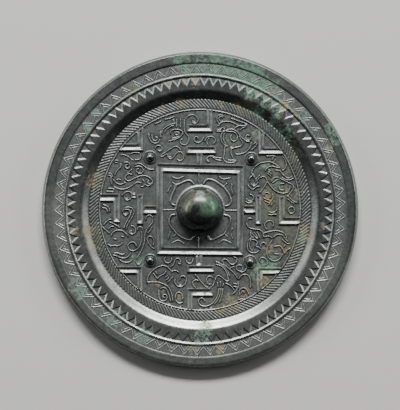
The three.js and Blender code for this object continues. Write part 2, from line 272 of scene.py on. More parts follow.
def facing(side, *corners):
    """Corners given for the upper side of the frame, turned to one of its four sides."""
    for _ in range(side):
        corners = [(-y, x) for x, y in corners]
    return list(corners)


# The T's bar and stem, the frame's edge under it, and the L's hook, for each side turned uppermost:
# from upper to left, lower and right.
SIDES = [
    ((-6.1, 7.2, 24.95, 28.15), (-1.7, 1.2), 20.2, (-5.7, 34.6, 37.8, 2.8, 5.7)),
    ((-6.2, 6.8, 25, 28), (-1.6, 1.95), 19.4, (-5.5, 35.2, 38.4, 3.9, 7.2)),
    ((-6.4, 5.8, 24.5, 27.5), (-1.2, 2), 19.8, (-5.9, 34.6, 38, 3.1, 5.8)),
    ((-6.3, 6.3, 24.4, 27.1), (-2, 1.4), 19.4, (-6, 34.7, 37.6, 3.1, 6.4)),
]
for side, (bar, stem, frame_edge, hook) in enumerate(SIDES):
    left, right, low, high = bar
    band(facing(side, (left, low), (right, low), (right, high), (left, high)))
    left, right = stem
    foot = frame_edge - BAND_FLOOR
    band(facing(side, (left, foot), (right, foot), (right, low + BAND_CREST), (left, low + BAND_CREST)))
    left, low, high, inner, outer = hook
    band(facing(side, (left, low), (outer, low), (outer, HOOK_REACH), (inner, HOOK_REACH), (inner, high),
                (left, high)))

BRACKETS = [((-25.0, 26.2), (-27.9, 29.3)), ((-25.2, -24.9), (-28.0, -28.0)),
            ((24.9, -25.4), (27.7, -28.3)), ((25.7, 24.7), (28.5, 27.5))]
for (x, y), (inner_x, inner_y) in BRACKETS:
    far_x, far_y = math.copysign(BRACKET_REACH, x), math.copysign(BRACKET_REACH, y)
    loop = [(x, y), (x, far_y), (inner_x, far_y), (inner_x, inner_y), (far_x, inner_y), (far_x, y)]
    band(loop if x * y < 0 else loop[::-1])


def to_segments(places, path):
    """Distance of each place from a line of points."""
    start = path[:-1]
    reach = path[1:] - start
    length = np.maximum((reach ** 2).sum(1), 1e-12)
    offset = places[:, None, :] - start[None]
    share = np.clip((offset * reach).sum(2) / length, 0, 1)
    return np.sqrt(((offset - share[:, :, None] * reach) ** 2).sum(2).min(1))


def inside(places, loop):
    """Whether each place lies within a loop, by counting the sides to its right."""
    x, y = places[:, 0, None], places[:, 1, None]
    ax, ay = loop.T
    bx, by = np.roll(loop, -1, 0).T
    spans = (ay > y) != (by > y)
    rise = np.where(by == ay, 1, by - ay)
    return (spans & (x < ax + (y - ay) / rise * (bx - ax))).sum(1) % 2 == 1


def band_height(places, loops):
    within = np.zeros(len(places), bool)
    for loop in loops:
        within ^= inside(places, loop)
    gap = np.min([to_segments(places, np.vstack([loop, loop[:1]])) for loop in loops], 0)
    hollow = BAND_HOLLOW * np.clip((gap - BAND_CREST - CREST_MARGIN) / (BAND_FLOOR - BAND_CREST), 0, 1)
    wall = BAND_HEIGHT * np.clip(gap / BAND_WALL, 0, 1)
    return np.where(within, wall - hollow, 0)


# ---- Four bosses ----
# Small round-headed studs at the corners of the frame, each on a low disc, cast with the rest.
BOSSES = [(-22.1, 23.2), (22.7, 22.6), (22.1, -23.0), (-22.0, -22.4)]
BOSS_PROFILE = [(0, 2.1), (0.45, 2.04), (0.85, 1.88), (1.2, 1.62), (1.5, 1.24), (1.7, 0.85), (1.82, 0.34),
                (2.1, 0.26), (2.5, 0.34), (2.75, 0.4), (2.95, 0.3), (3.1, 0)]
BOSS_STEP = 0.5
LEAST_STEPS = 12
for x, y in BOSSES:
    points.append((x, y))
    for radius, _ in BOSS_PROFILE[1:]:
        steps = max(LEAST_STEPS, round(math.tau * radius / BOSS_STEP))
        crease([(x + a, y + b) for a, b in circle(radius, steps)], closed=True)

# ---- Leaves round the knob ----
# Four leaf-shaped outlines with a point towards each corner of the frame, small chevrons in the
# corners and a fine line across the middle of each side.
LEAVES = [
    [(-2.8, 11.2), (-3.6, 12.4), (-4.9, 13), (-6.8, 12.6), (-8.6, 11.7), (-10.3, 10.9), (-11.2, 9),
     (-12.2, 6.8), (-13, 3.9), (-12.3, 2.4), (-11.2, 2)],
    [(1.7, 11.5), (2.5, 12.9), (3.9, 13.6), (6.4, 12.9), (8.4, 11.6), (10.3, 10.2), (11.6, 8.6), (13, 6.4),
     (13.7, 3.8), (12.9, 2.2), (11.3, 1.6)],
    [(10.9, -2.3), (12.3, -2.6), (13.4, -3.8), (12.9, -6.5), (11.9, -8.6), (10.7, -10.5), (9, -11.6),
     (7.3, -12.5), (4.9, -13.4), (3.9, -12.8), (3.6, -11.6)],
    [(-11.3, -2.1), (-12.6, -2.4), (-13.3, -3.4), (-13.5, -6.1), (-12.1, -8.4), (-10.3, -10.5), (-9, -11.6),
     (-7.6, -12.4), (-5.5, -13.2), (-3.7, -13.1), (-2.8, -11.9)],
]
FINE_MARKS = [
    [(-10.4, 10.9), (-12.1, 12.2)], [(10.4, 10.3), (11.8, 11.7)], [(10.8, -10.6), (12.1, -11.9)],
    [(-10.4, -10.6), (-11.7, -11.8)],
    [(-12, 14.5), (-9.9, 13.8), (-7.2, 14.8)], [(-12.8, 10.6), (-13.7, 9.4), (-14.1, 7.9)],
    [(8.6, 14.6), (10.3, 13.6), (13.4, 14.1)], [(14.2, 11.4), (13.9, 9.4), (14.5, 6.9)],
    [(8.3, -14.6), (10.5, -13.3), (13.7, -14.6)], [(14.2, -8.2), (13.5, -10.2), (14.4, -12.9)],
    [(-12.5, -14.7), (-9.6, -13.5), (-6.9, -15)], [(-13.2, -9.8), (-14, -12.6)],
    [(-0.5, 11.6), (-0.5, 16.9)], [(11.2, -0.2), (16.3, -0.2)], [(-16.3, 0), (-11.2, 0)],
    [(-0.6, -12.2), (-0.6, -16.5)],
]


def flowing(path, step=0.5):
    """A smooth line through the path's points: a centripetal Catmull-Rom curve."""
    path = [Vector(p) for p in path]
    ends = [path[0] * 2 - path[1]] + path + [path[-1] * 2 - path[-2]]
    line = []
    for a, b, c, d in zip(ends, ends[1:], ends[2:], ends[3:]):
        count = max(1, round((c - b).length / step))
        for i in range(count):
            t = i / count
            line.append(tuple(0.5 * (2 * b + (c - a) * t + (2 * a - 5 * b + 4 * c - d) * t ** 2
                                     + (3 * b - a - 3 * c + d) * t ** 3)))
    return line + [tuple(path[-1])]


LEAF_WIDTH, LEAF_HEIGHT = 1.1, 0.45
MARK_WIDTH, MARK_HEIGHT = 0.7, 0.32
for leaf in LEAVES:
    ridge(flowing(leaf), LEAF_WIDTH, LEAF_HEIGHT, rubbed_and_highlight=0.08)
for mark in FINE_MARKS:
    ridge(flowing(mark), MARK_WIDTH, MARK_HEIGHT, rubbed_and_highlight=0.2)

# ---- Animals and scrolls ----
# The field between the marks is filled with long-bodied beasts, birds and curling clouds, drawn
# in the mould with a point, so that they stand as threads of metal on the ground.
THREAD_WIDTH = 0.74
THREAD_HEIGHT = 0.46
THREADS = [
    # north-west: the long scroll and the long-necked beast
    [(-3.2, 39.3), (-3.2, 38.6), (-2, 38.3), (-1, 39), (-0.9, 40.2), (-1.9, 41.5), (-3.6, 42.1),
     (-5.2, 41.5), (-6.5, 40.2), (-6.9, 38.3), (-6.9, 36), (-6.6, 34.2), (-5.3, 32.6), (-4.9, 30.8),
     (-5.7, 29.3), (-7, 28.7), (-8.4, 29.3), (-8.8, 30.6), (-7.9, 31.3)],
    [(-13, 33.8), (-12.9, 34.8), (-11.8, 35.5), (-10, 35.6), (-8.4, 35.1), (-7.5, 34.3), (-8, 33),
     (-9.3, 31.9), (-11, 31.1), (-12.6, 30.7), (-13.9, 30.4)],
    [(-11.1, 33.9), (-10.4, 34.5), (-9.2, 34.2), (-9.4, 33.4), (-10.6, 33.2), (-11.1, 33.8)],
    [(-12.2, 31.6), (-10.8, 31.9), (-9.4, 32.5)],
    [(-10.9, 38.3), (-12.8, 37.8), (-14.5, 37), (-15.9, 36), (-16.6, 34.8), (-16.9, 33.4)],
    [(-11.6, 37.4), (-13.4, 36.6), (-14.8, 35.6), (-15.4, 34.4)],
    [(-17.4, 34.6), (-17.5, 33.2), (-17.3, 32)], [(-19.6, 38.2), (-18.3, 38.6), (-17.3, 39.3)],
    [(-15.3, 40), (-13.6, 40.4), (-11.5, 41.2)], [(-11.8, 39.9), (-11.3, 38.3)],
    [(-10.2, 40), (-10.4, 36.6)], [(-8.6, 40), (-8.7, 36.4)],
    [(-22.6, 33.8), (-22.5, 32), (-21.6, 30.3), (-20, 29.5), (-18.4, 29.9), (-17.8, 31)],
    [(-21.2, 33.3), (-21.1, 31.6), (-20.3, 30.7), (-19.3, 30.7), (-18.7, 31.4), (-19, 32.2), (-19.7, 32.1)],
    [(-19.7, 27.2), (-19.3, 28.1), (-18.4, 28.5), (-17.4, 28.2), (-16.8, 27.3), (-16.9, 26.4), (-17.8, 25.9),
     (-18.4, 26.4)],
    [(-8.6, 26.4), (-9.2, 27.3), (-10.3, 28), (-11.4, 27.9), (-13, 27), (-14.6, 25.9), (-17.1, 24.4)],
    [(-17.2, 23.7), (-16.4, 23.7), (-15.3, 24.3), (-14.4, 24.7), (-14.4, 23.6), (-13.6, 22.8), (-12.8, 22.6),
     (-11.7, 23.4), (-10.8, 24.5), (-9.9, 25.4), (-8.9, 25.7), (-7.8, 25), (-7.2, 23.8), (-7.4, 22.6),
     (-8.2, 21.9), (-9.1, 21.8), (-9.8, 22.2)],
    [(-13.8, 23.5), (-12.8, 23.4)],
    # north: curls beside and above the T
    [(1.4, 31.9), (1, 30.8), (0, 30), (-1.3, 29.8), (-2.4, 30.4), (-2.6, 31.5), (-1.9, 32.4), (-1.1, 32.2),
     (-0.9, 31.5)],
    [(2.3, 30.4), (2.8, 31.6), (3.8, 32.3), (5.2, 32.4), (6.4, 31.7), (6.8, 30.5), (6.4, 29.5), (5.7, 29.3)],
    [(3.5, 28.7), (3.1, 29.6), (3.3, 30.8), (4, 31.5)],
    [(3.9, 21.3), (3.2, 21.6), (3, 22.6), (3.6, 23.5), (4.8, 23.8), (6, 23.6), (7.2, 23.1), (9.6, 22.9)],
    [(5.8, 23.2), (6.8, 22.5), (7.8, 22.1), (9.5, 21.8)],
    # north-east: the striding beast, its crest, coiled shoulder, legs and tail
    [(10.5, 41.2), (9.8, 41.8), (8.9, 42), (8, 41.6), (7.5, 40.8), (7.5, 39.8), (8, 38.7), (8.7, 37.9)],
    [(10, 40.9), (9, 41.2), (8.3, 40.5), (8.6, 39.6), (9.2, 38.9)],
    [(8.5, 37.6), (9.3, 38.5), (10.6, 39), (12.8, 39), (14.5, 38.6), (16, 37.8), (17.2, 37.2), (18.4, 37.1),
     (19.6, 37.2), (20.8, 37.9)],
    [(14.9, 35.6), (15.4, 36.2), (16.2, 36.8), (17.2, 37)],
    [(17.6, 35.2), (18.6, 36), (19.8, 36.5), (20.8, 37.6)],
    [(13.8, 40.5), (15.5, 39.9), (17.3, 39.2), (19, 38.6), (20.6, 38)],
    [(7.6, 35.6), (8.3, 35.4), (9, 35.6), (9.5, 36.1)], [(7.4, 34.7), (8.3, 34.8), (9.3, 34.7)],
    [(8, 37), (8.6, 37.4), (8.3, 38)],
    [(10.3, 36.2), (10.8, 36.7), (11.3, 36.2), (10.8, 35.7), (10.3, 36.2)],
    [(10.3, 34.5), (11.4, 35.2), (12.6, 35.6), (14.1, 35.7), (15.3, 35.2), (16.5, 34.4), (17.3, 33.4),
     (17.5, 32.2), (17.9, 31.2), (18.5, 30.4), (18.8, 29.4), (18.5, 28.5), (17.6, 28), (16.2, 27.7),
     (14.8, 27.4), (14, 26.9)],
    [(10.4, 34.9), (9.7, 33.8), (9.3, 32.4), (9.4, 30.8), (10, 29.5), (11, 28.5), (12.2, 28.1)],
    [(10.7, 33.7), (10.4, 31.8), (10.7, 30.1), (11.6, 28.9)],
    [(13.9, 33), (13.5, 32), (13.8, 31), (14.9, 30.3), (16.1, 30.8), (16.6, 31.8), (16.4, 33), (15.6, 34),
     (14.3, 34.6), (12.9, 34.6), (11.6, 34.9)],
    [(11.2, 28.3), (10.8, 26.5), (10.7, 24.5), (10.4, 23), (10.6, 22), (11.6, 21.2), (13.1, 20.9),
     (14.6, 21), (15.7, 21.5)],
    [(13.9, 27), (13.7, 25.9), (13.8, 24.6), (14.4, 23.4), (15, 22.6)],
    [(12.4, 22), (13.8, 21.9), (15.5, 21.9)],
    [(15.8, 24.6), (17.4, 24.6), (19, 25), (20.4, 25.8), (21.6, 26.9), (22.4, 28.3), (22.7, 29.8)],
    [(22.7, 26.5), (23.8, 27.3), (24.8, 28.3), (25.1, 29.2)], [(23.4, 28.9), (24.2, 29.4), (24.8, 29.9)],
    [(21.9, 32.9), (20.9, 33.1), (20.3, 32.4), (20.4, 31.3), (21.2, 30.6), (22.1, 31), (22.6, 31.8)],
    [(17.9, 32.6), (18.6, 31.7), (19.6, 31), (20.6, 30.3), (21.8, 30.1)],
    # east, above the T: the arched beast
    [(22.6, 16.4), (23.9, 18.6), (25.1, 19.7), (26.8, 20.7), (28.6, 21.1), (30.4, 21.2), (32.2, 20.8),
     (33.8, 19.8), (34.9, 19.1)],
    [(28.8, 17.2), (29.5, 18.3), (30.8, 19.1), (32.4, 19.2), (34, 18.8), (35.2, 18.5)],
    [(33.4, 17.6), (34.8, 17.4), (35.7, 16.8), (36.4, 15.8), (37, 15.1)],
    [(36.6, 23.6), (37.4, 22.4), (38.1, 20.7), (38, 19), (37.2, 17.8), (36.4, 17.5)],
    [(29.5, 23.8), (31, 23.8), (32.4, 23.9), (33.4, 23.5)], [(32.3, 23), (31.9, 22.1)],
    [(33.3, 22.4), (32.9, 21.1)], [(22.7, 16.3), (23.4, 15.2), (23.9, 14.2)],
    [(23.6, 15.6), (22.6, 14.6), (21.6, 13.6)], [(30.4, 17.8), (31.3, 17)], [(30.3, 16.9), (31.7, 15.7)],
    [(30, 16), (31.4, 14.8)],
    [(24.9, 12.6), (25.7, 13.5), (26.8, 14.4), (28.1, 14.7), (29.2, 14), (29.6, 13)],
    [(24.9, 13.8), (25.6, 14.6), (26.2, 15.2)],
    [(21.3, 10.9), (21.9, 9.9), (22.9, 9.2), (23.8, 9.2), (24.6, 9.9), (25.5, 10.4), (26.3, 10.4)],
    [(22.8, 11.4), (23.4, 10.6), (24.2, 10.6), (25, 11.3), (25.5, 12)],
    [(23.6, 15.4), (24.3, 14.2), (24.7, 13)], [(22.6, 14.8), (21.8, 13.7), (21.9, 12.6)],
    [(29.6, 12.2), (29.1, 11.2), (28.3, 10), (27.3, 8.7), (26.3, 7.6)],
    [(29.9, 12.3), (30.7, 11.1), (31.8, 9.8), (33.1, 8.6), (34.6, 7.8), (36.3, 7.4), (38, 7.5), (39.2, 8)],
    [(35.4, 13.9), (36.6, 13.3), (38, 12.6), (39.4, 11.9), (40.6, 11.2), (41.3, 10.5), (41.2, 9.2),
     (40.5, 8.1), (39.6, 7.2), (39.3, 6.4)],
    [(39.8, 10.6), (39.6, 9.3), (38.8, 7.9)],
    [(36.9, 15.6), (37.8, 14.6), (38.8, 14), (39.8, 14.2), (40.6, 14.9)],
    [(36.2, 14.4), (37.4, 13.6), (38.8, 13.2), (40.2, 13.4), (41.2, 13.9)],
    [(35.5, 11.4), (36.3, 11.7), (37.1, 11.6)], [(35.2, 9.9), (35.2, 9.1), (36, 8.8), (37, 8.8)],
    [(31.6, 12.5), (32.3, 13.7), (33.3, 14.4), (34.5, 14.4)], [(32.2, 11.9), (33.1, 12.6), (34.2, 13.4)],
    # east, between the frame, the T and the L
    [(28.2, 6.4), (28.6, 7.3), (29.5, 7.7), (30.6, 7.2), (31, 6.2), (30.8, 5.2)],
    [(32, 7), (32.3, 5.6), (31.8, 4.4), (31, 3.3), (30.4, 2.2)],
    [(28.2, 5.3), (29.2, 4.7), (30.4, 4.4), (31.3, 4)], [(28.7, 3.9), (29.6, 3.4), (30.6, 3.2)],
    [(31.9, 2.9), (31.4, 1.9)], [(30.6, -0.9), (31.8, -1.2), (33, -0.9), (33.9, -0.1), (34, 0.9)],
    [(30.3, -2), (31.4, -2.2), (32.7, -1.9), (33.8, -2.2)],
    [(29.5, -8.6), (28.6, -7.4), (28.7, -6.1), (29.6, -5.1), (31, -4.7), (32.2, -5.3), (32.6, -6.5),
     (32.2, -7.4)],
    [(41.85, -0.1), (41.4, 0.95), (40.4, 1.35), (39.4, 0.95), (38.95, -0.1), (39.4, -1.15), (40.4, -1.55),
     (41.4, -1.15), (41.85, -0.1)],
    [(38.6, 6.2), (39.7, 5.2), (41, 4.1), (42.7, 3.2)], [(38.9, 4.7), (40.2, 3.6), (41.5, 2.8)],
    [(22.1, 6.9), (23, 6.5), (23.8, 5.6), (23.4, 4.4), (22.3, 3.9), (21.2, 4.2), (20.5, 4.9)],
    [(20.3, 3.6), (21.7, 3.1), (23, 3.6)],
    [(22.9, -4), (21.9, -3.5), (21, -4.2), (20.6, -5.4), (20.8, -6.8), (21.6, -7.8), (22.8, -8.3),
     (24.4, -8.5), (26, -8.7), (27.4, -9.5), (28, -10.8), (28.1, -12)],
    # south-east: the coiled beast and the head that faces it
    [(28.2, -10.3), (29.6, -9.8), (31.2, -9.4), (33.2, -9.2), (35.2, -9.4), (36.8, -10.1), (37.9, -11.3),
     (38.3, -12.6)],
    [(32.4, -12.2), (33.6, -11.2), (35, -10.8), (36.3, -11.1), (37.3, -12.2), (38, -13.3), (38.9, -14)],
    [(31.6, -13.8), (30.8, -15), (29.9, -16.6), (29.5, -18.4), (29.7, -20.1), (30.6, -21.6), (32, -22.4),
     (33.4, -22.6), (34.8, -22), (35.8, -20.8), (36.4, -19.6)],
    [(32.8, -16.2), (34, -15.9), (35.3, -16), (36.2, -16.9), (36.9, -18.3), (37.4, -19.3)],
    [(36.4, -13.2), (37.6, -14.2), (38.6, -14.9), (39.4, -15)], [(37, -16.4), (37.5, -15.6)],
    [(37.2, -19.4), (37.9, -18.4), (38.7, -17.6), (39.9, -17)], [(33.1, -19.5), (34.6, -19.5)],
    [(22.6, -12.5), (21.4, -13.4), (21.1, -15), (20.9, -16.6), (21.3, -18), (22.4, -18.7), (23.9, -19),
     (25.2, -18.7), (25.9, -18.1)],
    [(22.4, -13.2), (21.9, -14.8), (21.9, -16.3), (22.5, -17.4), (23.4, -18.3)],
    [(22.9, -13.1), (24.3, -13.3), (25.3, -14.2), (25.2, -15.2), (24.6, -15.9)],
    [(25, -16.3), (25.9, -16.5), (26.6, -17.2)],
    [(22.4, -9.3), (23.2, -10.6), (24.2, -11.8), (25.4, -12.8)],
    [(22.2, -10.2), (22.6, -11.7), (23.6, -12.4)], [(24, -10), (25.6, -12.4)],
    [(25.2, -9.9), (26.6, -12.4)],
    [(26.9, -16.2), (27, -15.2), (27.8, -14.4), (28.8, -14.7), (29.1, -15.6)],
    [(28.6, -12), (29.6, -11.6), (30.7, -11.7), (31.7, -12.4)],
    [(26.3, -22.8), (26.5, -21.7), (27.4, -21), (28.6, -21.3), (29.4, -22.2), (29.8, -23.5), (29.4, -24.4)],
    # south, on the right: the ridge-backed beast, its limbs and curls
    [(4.6, -34.4), (5.8, -33.2), (6.6, -31.3), (7.2, -29.7), (8, -29), (9.2, -29.5), (10.5, -30.6),
     (11.8, -31.5), (12.7, -31.2)],
    [(7, -22.8), (8.4, -23.4), (9.9, -24.5), (11.3, -25.9), (12.4, -27.6), (13, -29.4)],
    [(7.2, -24.2), (8.8, -24.5), (10.2, -25.5), (11.4, -27.1), (12.2, -28.9), (12.4, -30.6)],
    [(7.7, -32.2), (7.9, -34)], [(9, -31.8), (9.1, -33.9)], [(10.4, -32.6), (10.1, -33.9)],
    [(10.3, -23.3), (9.7, -22.6), (10.3, -21.8), (11.5, -21.9), (12.6, -22.9), (13.6, -23.9), (14.7, -24.1),
     (15.9, -23.3), (16.3, -22.1), (15.9, -21.1), (15, -20.9)],
    [(10.3, -24), (12, -25.3), (13.3, -26.4), (14.6, -27.6), (15.8, -29), (16.5, -30.3)],
    [(15, -25.1), (14, -25.4), (13.2, -26.2)],
    [(18.9, -25.7), (18.4, -24.7), (17.4, -24.3), (16.5, -24.8), (16.1, -25.8), (16.6, -26.7), (17.6, -27.1),
     (18.6, -26.7), (18.9, -25.7)],
    [(17.6, -27.3), (18.6, -27.5), (19.8, -26.9), (20.7, -25.8)],
    [(17.2, -30.6), (18, -29.3), (19.2, -28.6), (20.5, -28.6), (21.5, -29.3), (22.2, -30.6), (22.4, -32.5),
     (22.4, -34.3)],
    [(16.8, -31.8), (17, -33.4), (16.5, -35), (15.4, -36.4), (14.2, -37.3)], [(14.9, -32.6), (16.3, -32.8)],
    [(15, -33.9), (16.3, -34.1)], [(11.4, -32.4), (13, -33.2), (14.2, -34.3), (15, -35.6)],
    [(17.6, -37.6), (17.3, -36.2), (17.8, -35.1), (19, -34.5), (20.3, -35), (21.1, -36.2), (21.6, -37.4)],
    [(18.4, -36.9), (18.6, -36), (19.4, -36), (19.4, -36.8)], [(17, -39.8), (18.3, -39.4), (19.4, -39.7)],
    # south: crossing curls beside the T and inside the L
    [(-0.7, -31.4), (-1.7, -30.9), (-2.9, -31.5), (-3.3, -32.6), (-2.8, -33.6), (-2, -34.2)],
    [(-2.2, -28.6), (-1.2, -29.6), (-0.1, -31), (1, -32.3), (2.2, -33.6), (3.6, -34.2)],
    [(5, -32.9), (3.7, -32.6), (2.9, -31.2), (3.4, -29.7), (4.7, -29.3), (5.8, -30.2)],
    [(2, -40.4), (1.6, -39.4), (0.6, -38.9), (-0.4, -39.7), (-0.6, -40.9), (0, -42), (1.4, -42.5),
     (3, -42.5), (4.6, -41.9), (6.2, -40.7), (7.4, -38.9), (8.1, -36.9), (8.4, -34.9)],
    [(9.2, -34.8), (9, -36.7), (8.4, -38.7), (7.4, -40.5), (6.4, -41.6)],
    [(10, -35), (9.8, -37.2), (9.2, -39.4), (8.6, -41)],
    # south, on the left: the bird with a round wing, and its spirals
    [(-23.3, -31.7), (-22.9, -29.5), (-21.8, -27.7), (-20.3, -26.3), (-18.3, -25.1), (-16.5, -24.6),
     (-15, -24.9), (-13.8, -25.8), (-12.8, -26.9)],
    [(-12.6, -27.5), (-11.7, -26.9), (-10.5, -26.9), (-9.5, -27.6)],
    [(-18.7, -30.5), (-18, -29.5), (-16.9, -28.9), (-15.7, -28.2), (-15, -27.2)],
    [(-20.6, -28.1), (-19.8, -29.1), (-19.2, -30.2)], [(-19.6, -27.3), (-18.9, -28.3)],
    [(-23, -31.9), (-20.5, -31.9), (-18.3, -32), (-16.9, -32.5), (-15.6, -33), (-14.2, -33.9),
     (-13.1, -35.6), (-12.4, -37.8), (-12, -40.3)],
    [(-17.5, -35), (-16.6, -34.4), (-15.3, -34.6), (-14.3, -36), (-13.6, -38), (-13, -40.4)],
    [(-18.1, -35.5), (-18.2, -37.5), (-17.9, -39.3), (-16.8, -40.2), (-15.3, -40), (-14.5, -39),
     (-14.9, -37.6), (-16, -37.4), (-16.5, -38.3), (-15.9, -38.9)],
    [(-8.9, -30.9), (-8.5, -29.6), (-7.4, -29.1), (-6.3, -29.9), (-6, -31.5), (-6.9, -33.1), (-8.6, -33.9),
     (-10.3, -33.4), (-11.1, -32.1), (-11, -30.8)],
    [(-15.2, -29.8), (-14.5, -29.1)], [(-14.8, -31), (-14, -30.2)],
    [(-14.3, -32), (-13.3, -31.1), (-12.3, -29.9)],
    [(-7.6, -39.6), (-7.7, -38), (-8.6, -36.7), (-9.7, -36.4), (-10.6, -37.4), (-10.9, -38.9),
     (-10.4, -40.4), (-9.2, -41.2), (-7.8, -40.9)],
    [(-15.2, -20.9), (-15.8, -22), (-15.2, -23.2), (-14.2, -23.5), (-13, -23), (-12.4, -22), (-12.5, -21.3)],
    [(-12.9, -25.2), (-11.7, -24.2), (-11.2, -22.7), (-10.4, -21.5), (-9.4, -21.5), (-8.5, -22.6),
     (-8.7, -24.1), (-9.4, -23.6)],
    [(-5.8, -21), (-6.2, -22.2), (-5.5, -23.3), (-4.4, -23.6), (-3.3, -22.9), (-3.1, -21.7)],
    # west, below the T: the round-faced beast, its ringed body and the twined tails
    [(-39.3, -11.5), (-38.6, -10.1), (-37.2, -9.2), (-35.6, -8.9), (-34.1, -9.3), (-32.8, -10.4),
     (-31.8, -11.6)],
    [(-37.9, -12.9), (-37.1, -12.9)], [(-34.5, -11.9), (-33.7, -11.9)],
    [(-40.7, -15.2), (-39.4, -15.9), (-37.8, -15.7), (-36.3, -15.9), (-35, -15.3), (-34.4, -14.6)],
    [(-30.3, -7), (-29, -7.6), (-28.4, -8.9), (-28.7, -10.2), (-29.8, -10.8), (-30.8, -10.5), (-30.9, -9.6),
     (-30.2, -9.2)],
    [(-27.6, -8.8), (-27.3, -7.8), (-26.5, -7.4), (-25.6, -7.9), (-25.6, -8.8)],
    [(-28.1, -16.1), (-28.7, -14.8), (-30, -14.2), (-31.3, -14.8), (-31.9, -16.1), (-31.3, -17.4),
     (-30, -18), (-28.7, -17.9), (-27.3, -16.9), (-26.3, -15.2), (-25.8, -13.2), (-25.7, -11), (-26, -9.6)],
    [(-24, -4.5), (-23.7, -3.1), (-22.5, -2.3), (-21.2, -2.9), (-20.7, -4.4), (-21.1, -5.8), (-22.2, -7.1),
     (-23.5, -8.7), (-24.3, -10.5), (-24.4, -12.6), (-24.8, -15), (-25.6, -17.4), (-26.8, -19.6),
     (-28, -21.4)],
    [(-21.2, -7.7), (-21.9, -9), (-23.1, -10.2)],
    [(-20.4, -17.2), (-21.8, -16.1), (-22.9, -14.5), (-23.3, -12.8), (-22.3, -11.6), (-21, -12.3),
     (-20.3, -14), (-20.6, -15.6)],
    [(-38.3, -20), (-36.7, -20.4), (-35.3, -21), (-33.9, -21.3), (-32.4, -21), (-31.2, -20.1),
     (-30.8, -19.2)],
    [(-38, -19), (-36.4, -19), (-34.9, -19.6), (-33.5, -19.5)],
    [(-35.4, -22.1), (-34, -22.9), (-32.4, -23.2), (-30.9, -22.9), (-29.9, -22.1)],
    [(-28.4, -22.9), (-27.7, -23.9), (-26.8, -24), (-26.1, -23.3)],
    # west, between the frame, the T and the L: the crane and the curls
    [(-34.4, 6.4), (-33.2, 7.7), (-31.5, 8.1), (-30.5, 7.3), (-30.1, 6.1), (-30.7, 4.8), (-31.8, 4.3),
     (-32.9, 4.6), (-33.2, 5.5)],
    [(-30, 7.2), (-29.4, 6.6), (-28.8, 6.6)], [(-30, 5.6), (-29.2, 5.3), (-28.6, 5.6)],
    [(-30.2, -0.4), (-30.8, -2.3), (-31.9, -4.3), (-33, -6.4), (-33.6, -8)],
    [(-34.3, -0.9), (-33.8, 0.2), (-32.6, 1.1), (-31.2, 1.2), (-29.9, 0.5), (-29.1, -0.9), (-29.9, -3.1),
     (-31.2, -5.3), (-32.3, -7.4), (-32.5, -8.4)],
    [(-33.2, -0.1), (-32, 0.2), (-31, -0.3), (-31, -1.2)],
    [(-33.7, -1.8), (-33, -2.4), (-32.2, -2.2), (-31.8, -1.4)],
    [(-42.6, 2.3), (-41.3, 1.8), (-40.3, 0.8), (-39.9, -0.8)],
    [(-43, 0.9), (-42, 0.8), (-41.2, 0), (-40.9, -1)],
    [(-42.6, -6.6), (-41.5, -5.4), (-40, -4.2), (-39.2, -4.3)],
    [(-39.9, -5.4), (-38.5, -6), (-37, -6.8), (-35.5, -7.8)],
    [(-42.9, -7.6), (-41.9, -8.7), (-40.9, -9.6), (-40, -10.4)],
    [(-40.4, -8.5), (-39.5, -7.5), (-38.2, -7.3)],
    # north-west, above the T: the beast with a trailing tail
    [(-34.8, 24.2), (-33.8, 24.4), (-32.6, 24), (-31.4, 23.3), (-30.3, 22.4), (-29.4, 21.9)],
    [(-30.4, 25), (-29, 25.3), (-27, 25.2), (-26.3, 24.3), (-26.2, 23.4), (-26.5, 22.6), (-27.6, 22.1),
     (-28.6, 22.2)],
    [(-37.6, 21.5), (-36.9, 22), (-36.1, 21.5)], [(-37.3, 20.7), (-36.7, 20.9)],
    [(-33.4, 20.8), (-32.3, 21.2), (-31.3, 20.6), (-30.9, 19.5), (-31.4, 18.5), (-32.4, 18.4), (-33.1, 19),
     (-32.9, 19.8), (-32.2, 19.9)],
    [(-34.9, 20.4), (-35.2, 18.9), (-36.2, 17.9), (-37, 16.8), (-37.6, 15.6)],
    [(-38.2, 13.3), (-37.3, 12.2), (-36.2, 11.5), (-35, 11.3), (-33.9, 11.6), (-33, 12.2)],
    [(-37, 13.2), (-36, 13.6), (-35, 13.2)],
    [(-37.9, 10.2), (-36.6, 9.6), (-35, 9.2), (-33.4, 9.2), (-31.8, 9.8), (-30.3, 10.6), (-29, 11.5),
     (-28, 12.2), (-27.2, 12.2), (-26.2, 11.9)],
    [(-30.2, 15.6), (-31.2, 16), (-32.3, 15.6), (-33.1, 14.6), (-32.9, 13.5), (-31.8, 12.8), (-30.5, 13.1),
     (-29.3, 13.8), (-28, 14.4), (-26.7, 14.9), (-25.3, 15.1), (-23.8, 15), (-22.5, 14.4), (-21.4, 13.5),
     (-20.9, 12.3), (-21.5, 11.4), (-22.6, 11.5), (-23.3, 12.2), (-22.8, 12.9)],
    [(-24.3, 11.5), (-23.6, 10.8), (-22.6, 10.7), (-21.9, 11)],
    [(-25.2, 13.4), (-24.6, 12.4), (-24.5, 11.2), (-25.1, 10.4), (-26, 10.2)],
    [(-28.6, 19), (-27.4, 19.4), (-26, 19), (-25.2, 18), (-25.2, 16.8), (-26.2, 16.1), (-27.4, 16.3),
     (-28.2, 17.2), (-27.9, 18.1), (-27.2, 18.2)],
    [(-28.6, 20.1), (-27.2, 20.6), (-25.7, 20.1), (-24.3, 19), (-22.9, 18.2), (-21.8, 17.9), (-20.5, 17.9)],
    [(-30.2, 17.9), (-31.2, 16.9), (-32.2, 16.3)],
    [(-40.3, 16.2), (-39.6, 16.2), (-38.9, 15.5), (-38.5, 14.8)],
    [(-40.4, 15.1), (-39.6, 15.1), (-39, 14.5)], [(-39.2, 14.3), (-39.3, 12.6), (-39, 11.2)],
